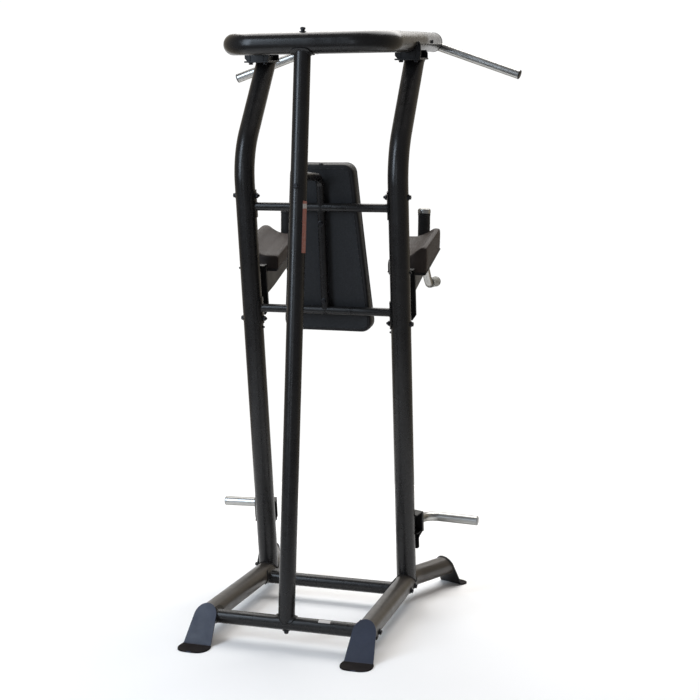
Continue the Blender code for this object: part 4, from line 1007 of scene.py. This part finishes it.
for side, tag in SIDES:
    at, xc = upright_axis(ARM_MOUNT_Z, side), side * GRIP_X
    mount = Shape()
    front = at + UP_FRONT * 0.063
    mount.strip([(front + UP_DIR * along, half, UP_FRONT * -0.0045) for along, half in
                 mm((93, 42.5), (91.5, 44.5), (-86, 44.5), (-108, 29))], X)
    for edge_x in (-0.0445, 0.04):
        mount.prism(mm((0, 0), (4.5, 0), (4.5, -9), (0, -9)),
                    front + X * edge_x + UP_DIR * 0.092, X, UP_FRONT, 0.176)
    cross_plate(mount, at - UP_DIR * 0.0985, UP_FRONT, 0.027, 0.032)
    cross_plate(mount, at + UP_DIR * 0.0925, UP_FRONT, 0.0425, 0.032)
    # cantilever: a folded channel, open below, that runs out to the sleeve of the grip tube
    face = at + UP_FRONT * 0.061
    w, t = 0.024, 0.004
    rings = []
    for y, low_z, top_z in ((face.y, 1.205, BOARD_Z - 0.017), (-0.127, 1.242, None),
                            (-0.288, 1.308, None), (GRIP_Y + 0.019, 1.36, 1.39)):
        top_z = top_z or board_low(y) - GAP
        rings.append([vec(xc + x, y, z) for x, z in
                      ((-w, low_z), (-w, top_z), (w, top_z), (w, low_z), (w - t, low_z),
                       (w - t, top_z - t), (t - w, top_z - t), (t - w, low_z))])
    rings[0] = [vec(v.x, v.y + (v.z - face.z) * tan(LEAN), v.z) for v in rings[0]]
    mount.loft(rings)
    mount.tube(straight(*((xc, GRIP_Y, z) for z in SLEEVE_Z)), SLEEVE_R, 40, SLEEVE_WALL)
    corners = rings[0][:4]
    mount.bead([corners[i].lerp(corners[(i + 1) % 4], k / n) for i, n in enumerate((8, 6, 8, 6))
                for k in range(n)], 0.002)
    mount.make("arm_bracket_" + tag, "bracket", bevel=0.0008)

    # board and its bolts
    board = Shape()
    rings = []
    for y, inset in ((PAD_REAR_Y, 0.003), (PAD_REAR_Y - 0.002, 0.0006), (PAD_REAR_Y - 0.006, 0.0),
                     (PAD_FRONT_Y + 0.012, 0.0), (PAD_FRONT_Y + 0.004, 0.004),
                     (PAD_FRONT_Y, 0.012)):
        z = board_low(y)
        a, b = side * (PAD_IN + 0.003 + inset), side * (PAD_OUT - 0.003 - inset)
        rings.append([vec(a, y, z), vec(b, y, z), vec(b, y, z + BOARD_T), vec(a, y, z + BOARD_T)])
    board.loft(rings)
    board.make("arm_board_" + tag, "cloth", bevel=0.001)
    bolts = Shape()
    board_n = vec(0, -sin(atan(PAD_SLOPE)), -cos(atan(PAD_SLOPE)))
    for y in (-0.085, -0.215):
        for dx in (-0.04, 0.04):
            bolts.hex_bolt((xc + dx, y, board_low(y)), board_n, 0.0062, 0.0045, turn=y * 20)
    bolts.make("arm_board_bolts_" + tag, "steel", ())

    # moulded pad
    pad = Shape()
    rings, ridge_line = [], []
    stations = [(PAD_REAR_Y + y, inset) for y, inset in
                mm((0.6, 50), (1, 30), (0.8, 12), (0.2, 4.2), (-1.6, 1.2), (-5, 0))]
    stations += [(PAD_REAR_Y - 0.005 - 0.0217 * k, 0.0) for k in range(1, 11)]
    stations += [(PAD_FRONT_Y + y, inset) for y, inset in
                 mm((14, 1), (10, 2.6), (5.6, 5.8), (2, 11), (0, 20), (-0.4, 34), (-0.3, 52))]
    for y, inset in stations:
        behind = y > PAD_REAR_Y
        core = arm_section(y, min(inset, 0.014))
        if inset > 0.014 or (behind and inset > 0.004):
            # the end faces shrink towards the middle of the section
            mid = (0.5 * (PAD_IN + PAD_OUT) + 0.006, 0.034)
            f = min(1.0, max(0.0, (inset - 0.004) / 0.07))
            core = [(x + (mid[0] - x) * f, z + (mid[1] - z) * f)
                    for x, z in arm_section(y, 0.004 if behind else 0.014)]
        ring = []
        for x, z in soften(soften(core)):
            wob = 0.0006 * noise.noise(vec(x * 45, y * 45, z * 45 + side))
            ring.append(vec(side * (x + wob), y, pad_base(y) + z + wob))
        rings.append(ring)
        if PAD_FRONT_Y + 0.011 < y < PAD_REAR_Y - 0.004:
            x, z = core[RIDGE]
            ridge_line.append(vec(side * (x - 0.007), y, pad_base(y) + z - 0.0012))
    pad.loft(rings)
    pad.make("arm_pad_" + tag, "vinyl", sharp=60, sub=1)
    seam = Shape()
    seam.stitches(ridge_line, vec(side * 0.3, -0.15, 1.3), 0.006, 0.004, 0.00048, closed=False)
    seam.make("arm_pad_stitching_" + tag, "thread", ())
    front, rear = PAD_FRONT_Y, PAD_REAR_Y
    foot_line = [vec(side * x, y, pad_base(y_base)) for x, y, y_base in
                 ((PAD_IN, rear - 0.004, rear - 0.004), (PAD_IN, front + 0.012, front + 0.012),
                  (PAD_IN + 0.006, front + 0.004, front + 0.004),
                  (PAD_IN + 0.018, front + 0.001, front), (PAD_OUT - 0.018, front + 0.001, front),
                  (PAD_OUT - 0.006, front + 0.004, front + 0.004),
                  (PAD_OUT, front + 0.012, front + 0.012), (PAD_OUT, rear - 0.004, rear - 0.004),
                  (PAD_OUT - 0.004, rear, rear), (PAD_IN + 0.004, rear, rear))]
    piping = Shape()
    piping.piping(foot_line, 0.0019)
    piping.make("arm_pad_piping_" + tag, "back_vinyl", (), sharp=80)

    # chrome tube with its grips
    handle_path = rounded_path([(xc, GRIP_Y, GRIP_TOP), (xc, GRIP_Y, DIP_ELBOW_Z),
                                flip(side, DIP_KNEE), flip(side, DIP_TIP)],
                               [0.04, 0.045], [16, 16])
    handle = Shape()
    handle.tube(handle_path, BAR_R, 40, THIN_WALL, hint=X)
    handle.make("dip_handle_" + tag, "chrome")
    top = GRIP_TOP + 0.0005
    turned("hand_grip_upper_" + tag, "rubber", (xc, GRIP_Y, top - UPPER_GRIP), Z,
           [(GRIP_BORE, 0.0), (0.0236, 0.0), (0.0248, 0.0012), (0.025, 0.006), (0.0242, 0.0076)]
           + ribs(22, 0.0095, 0.0053, 0.0235, 0.0243, 0.0037)
           + [(0.0242, 0.1275), (0.025, 0.129), (0.0248, 0.1338), (0.0236, UPPER_GRIP),
              (GRIP_BORE, UPPER_GRIP)])
    turned("hand_grip_cap_" + tag, "chrome", (xc, GRIP_Y, top + GAP), Z,
           mm((23.6, 0), (25.2, 0.6), (25.5, 2), (25.5, 11), (24.9, 15), (22.8, 18.2),
              (18.6, 20.2), (12, 21.3), (0, 21.6)))
    tip, tip_dir = handle_path[-1]
    turned("hand_grip_lower_" + tag, "pale_grip", tip - tip_dir * LOWER_GRIP, tip_dir,
           [(GRIP_BORE, 0.0), (0.0195, 0.0), (0.0208, 0.0012), (0.0209, 0.005), (0.0202, 0.0064)]
           + ribs(16, 0.008, 0.0052, 0.0197, 0.0204, 0.0036)
           + [(0.0203, 0.093), (0.021, 0.0944), (0.0208, 0.0992), (0.0196, LOWER_GRIP),
              (GRIP_BORE, LOWER_GRIP)])
    turned("dip_handle_cap_" + tag, "chrome", tip + tip_dir * GAP, tip_dir,
           mm((19.6, 0), (21.2, 0.6), (21.5, 1.8), (21.5, 6.6), (20.7, 9.4), (18.6, 11.6),
              (13, 12.7), (0, 13.2)))

# ---- push-up handles
for side, tag in SIDES:
    at = upright_axis(PUSH_Z, side)
    face = UP_FRONT * cos(PUSH_TURN) + X * side * sin(PUSH_TURN)
    across = UP_DIR.cross(face)
    mount = Shape()
    w, t, front, back, length = 0.0455, 0.0045, 0.064, 0.052, 0.082
    mount.prism([(-w, back), (-w, front), (w, front), (w, back), (w - t, back), (w - t, front - t),
                 (t - w, front - t), (t - w, back)], at + UP_DIR * length / 2, across, face, length)
    for where in (-0.0365, 0.0405):
        cross_plate(mount, at + UP_DIR * where, face, 0.0435, 0.016)
    # tail of the bracket, stepping in to lie along the handle's bolts
    mount.strip([(at + face * off - UP_DIR * down, half, face * -0.004) for off, down, half in
                 mm((63.4, 38, 43), (56, 47.8, 40.5), (48, 58.5, 36.6), (44.6, 65, 35.2),
                    (44, 72, 35), (44, 103, 35), (44, 108, 33), (44, 111.5, 29),
                    (44, 113, 22))], across)
    mount.make("push_up_bracket_" + tag, "bracket", bevel=0.0009)

    bolts = Shape()
    for dx, down in ((-0.03, 0.024), (0.03, 0.024), (-0.03, -0.024), (0.03, -0.024)):
        bolts.hex_bolt(at + face * front + across * dx - UP_DIR * down, face, 0.0066, 0.005,
                       turn=dx * 20)
    for dx in (-0.018, 0.018):
        bolts.hex_bolt(at + face * 0.044 + across * dx - UP_DIR * 0.096, face, 0.0066, 0.005)
    bolts.make("push_up_bolts_" + tag, "steel", ())

    start = at + face * (front + GAP) - UP_DIR * 0.014
    bend = vec((start + face * PUSH_REACH).x, PUSH_TIP[1], PUSH_BEND_Z)
    handle_path = rounded_path([start, bend, flip(side, PUSH_TIP)], [PUSH_BEND_R], [18])
    handle = Shape()
    handle.tube(handle_path, CHROME_R, 40, THIN_WALL, cut0=("plane", start, face), weld0=0.0019)
    handle.make("push_up_handle_" + tag, "chrome")
    end_plug("push_up_cap_" + tag, *handle_path[-1])

# ---- floor, light and camera
FLOOR_R = 2.2
floor_mesh = bpy.data.meshes.new("floor")
floor_mesh.from_pydata(circle(vec(0, 0, 0), X, Y, FLOOR_R, 96), [], [tuple(range(96))])
floor = place("floor", floor_mesh)
paper = Nodes(bpy.data.materials.new("floor_paper"))
paper.set(Base_Color=paper.mix(paper.ramp(paper.noise(0.8), 0.3, 0.7), (0.93, 0.93, 0.93),
                               (0.95, 0.95, 0.95)), Roughness=0.85, Specular_IOR_Level=0.15)
floor_mesh.materials.append(paper.owner)

# a grey studio, warmer on the side behind the machine, with a white paper backdrop there
BACKDROP = vec(0.2789, -0.9526, -0.1218).normalized()
sky = Nodes(bpy.data.worlds.new("studio"), "Generated")


def toward(axis, low, high):
    """Rises from 0 to 1 as the direction turns towards an axis."""
    dot = sky.node("VectorMath", "Value", {1: vec(axis), 0: sky.coord}, operation="DOT_PRODUCT")
    return sky.ramp(dot, low, high, interpolation_type="SMOOTHSTEP")


walls = sky.mix(toward((0, -1, 0), -0.4, 0.7), (0.22, 0.22, 0.225), (0.44, 0.385, 0.305))
walls = sky.mix(toward((0, 0, 1), 0.3, 0.85), walls, (0.18, 0.17, 0.17))
walls = sky.mix(toward(BACKDROP, cos(radians(33)), cos(radians(22))), walls,
                (1.04, 1.04, 1.04))
sky.feed(sky.tree.nodes["Background"].inputs["Color"], walls)
bpy.context.scene.world = sky.owner


def softbox(name, at, aim_z, width, height, power, colour):
    """Rectangular light aimed at the machine's axis."""
    light = bpy.data.lights.new(name, "AREA")
    light.shape = "RECTANGLE"
    light.size, light.size_y = width, height
    light.energy, light.color = power, colour
    lamp = place(name, light)
    lamp.location = at
    lamp.rotation_euler = (vec(0, 0, aim_z) - vec(at)).to_track_quat("-Z", "Y").to_euler()
    lamp.visible_camera = False


softbox("top", (0.0, -2.6, 5.6), 0.4, 5.5, 5.5, 430.0, (1.0, 0.985, 0.965))
softbox("window", (2.7, 3.85, 3.1), 1.1, 1.5, 4.2, 165.0, (0.74, 0.86, 1.0))
softbox("strip", (0.3, 5.2, 1.6), 1.5, 0.7, 3.0, 15.0, (0.8, 0.89, 1.0))

yaw, pitch, roll = radians(16.319), radians(-6.993), radians(0.588)
look = vec(sin(yaw) * cos(pitch), -cos(yaw) * cos(pitch), sin(pitch))
flat_right = vec(-cos(yaw), -sin(yaw), 0)
flat_up = flat_right.cross(look)
right = flat_right * cos(roll) + flat_up * sin(roll)
SENSOR, FOCAL_PIXELS, FRAME_PIXELS = 36.0, 1332.93, 700.0
camera_data = bpy.data.cameras.new("camera")
camera_data.sensor_width = SENSOR
camera_data.lens = FOCAL_PIXELS * SENSOR / FRAME_PIXELS
camera_data.clip_end = 60.0
camera = place("camera", camera_data)
matrix = Matrix((right, right.cross(look), -look)).transposed().to_4x4()
matrix.translation = vec(-1.5042, 4.83904, 1.6324)
camera.matrix_world = matrix
bpy.context.scene.camera = camera
bpy.context.scene.view_settings.view_transform = "Standard"
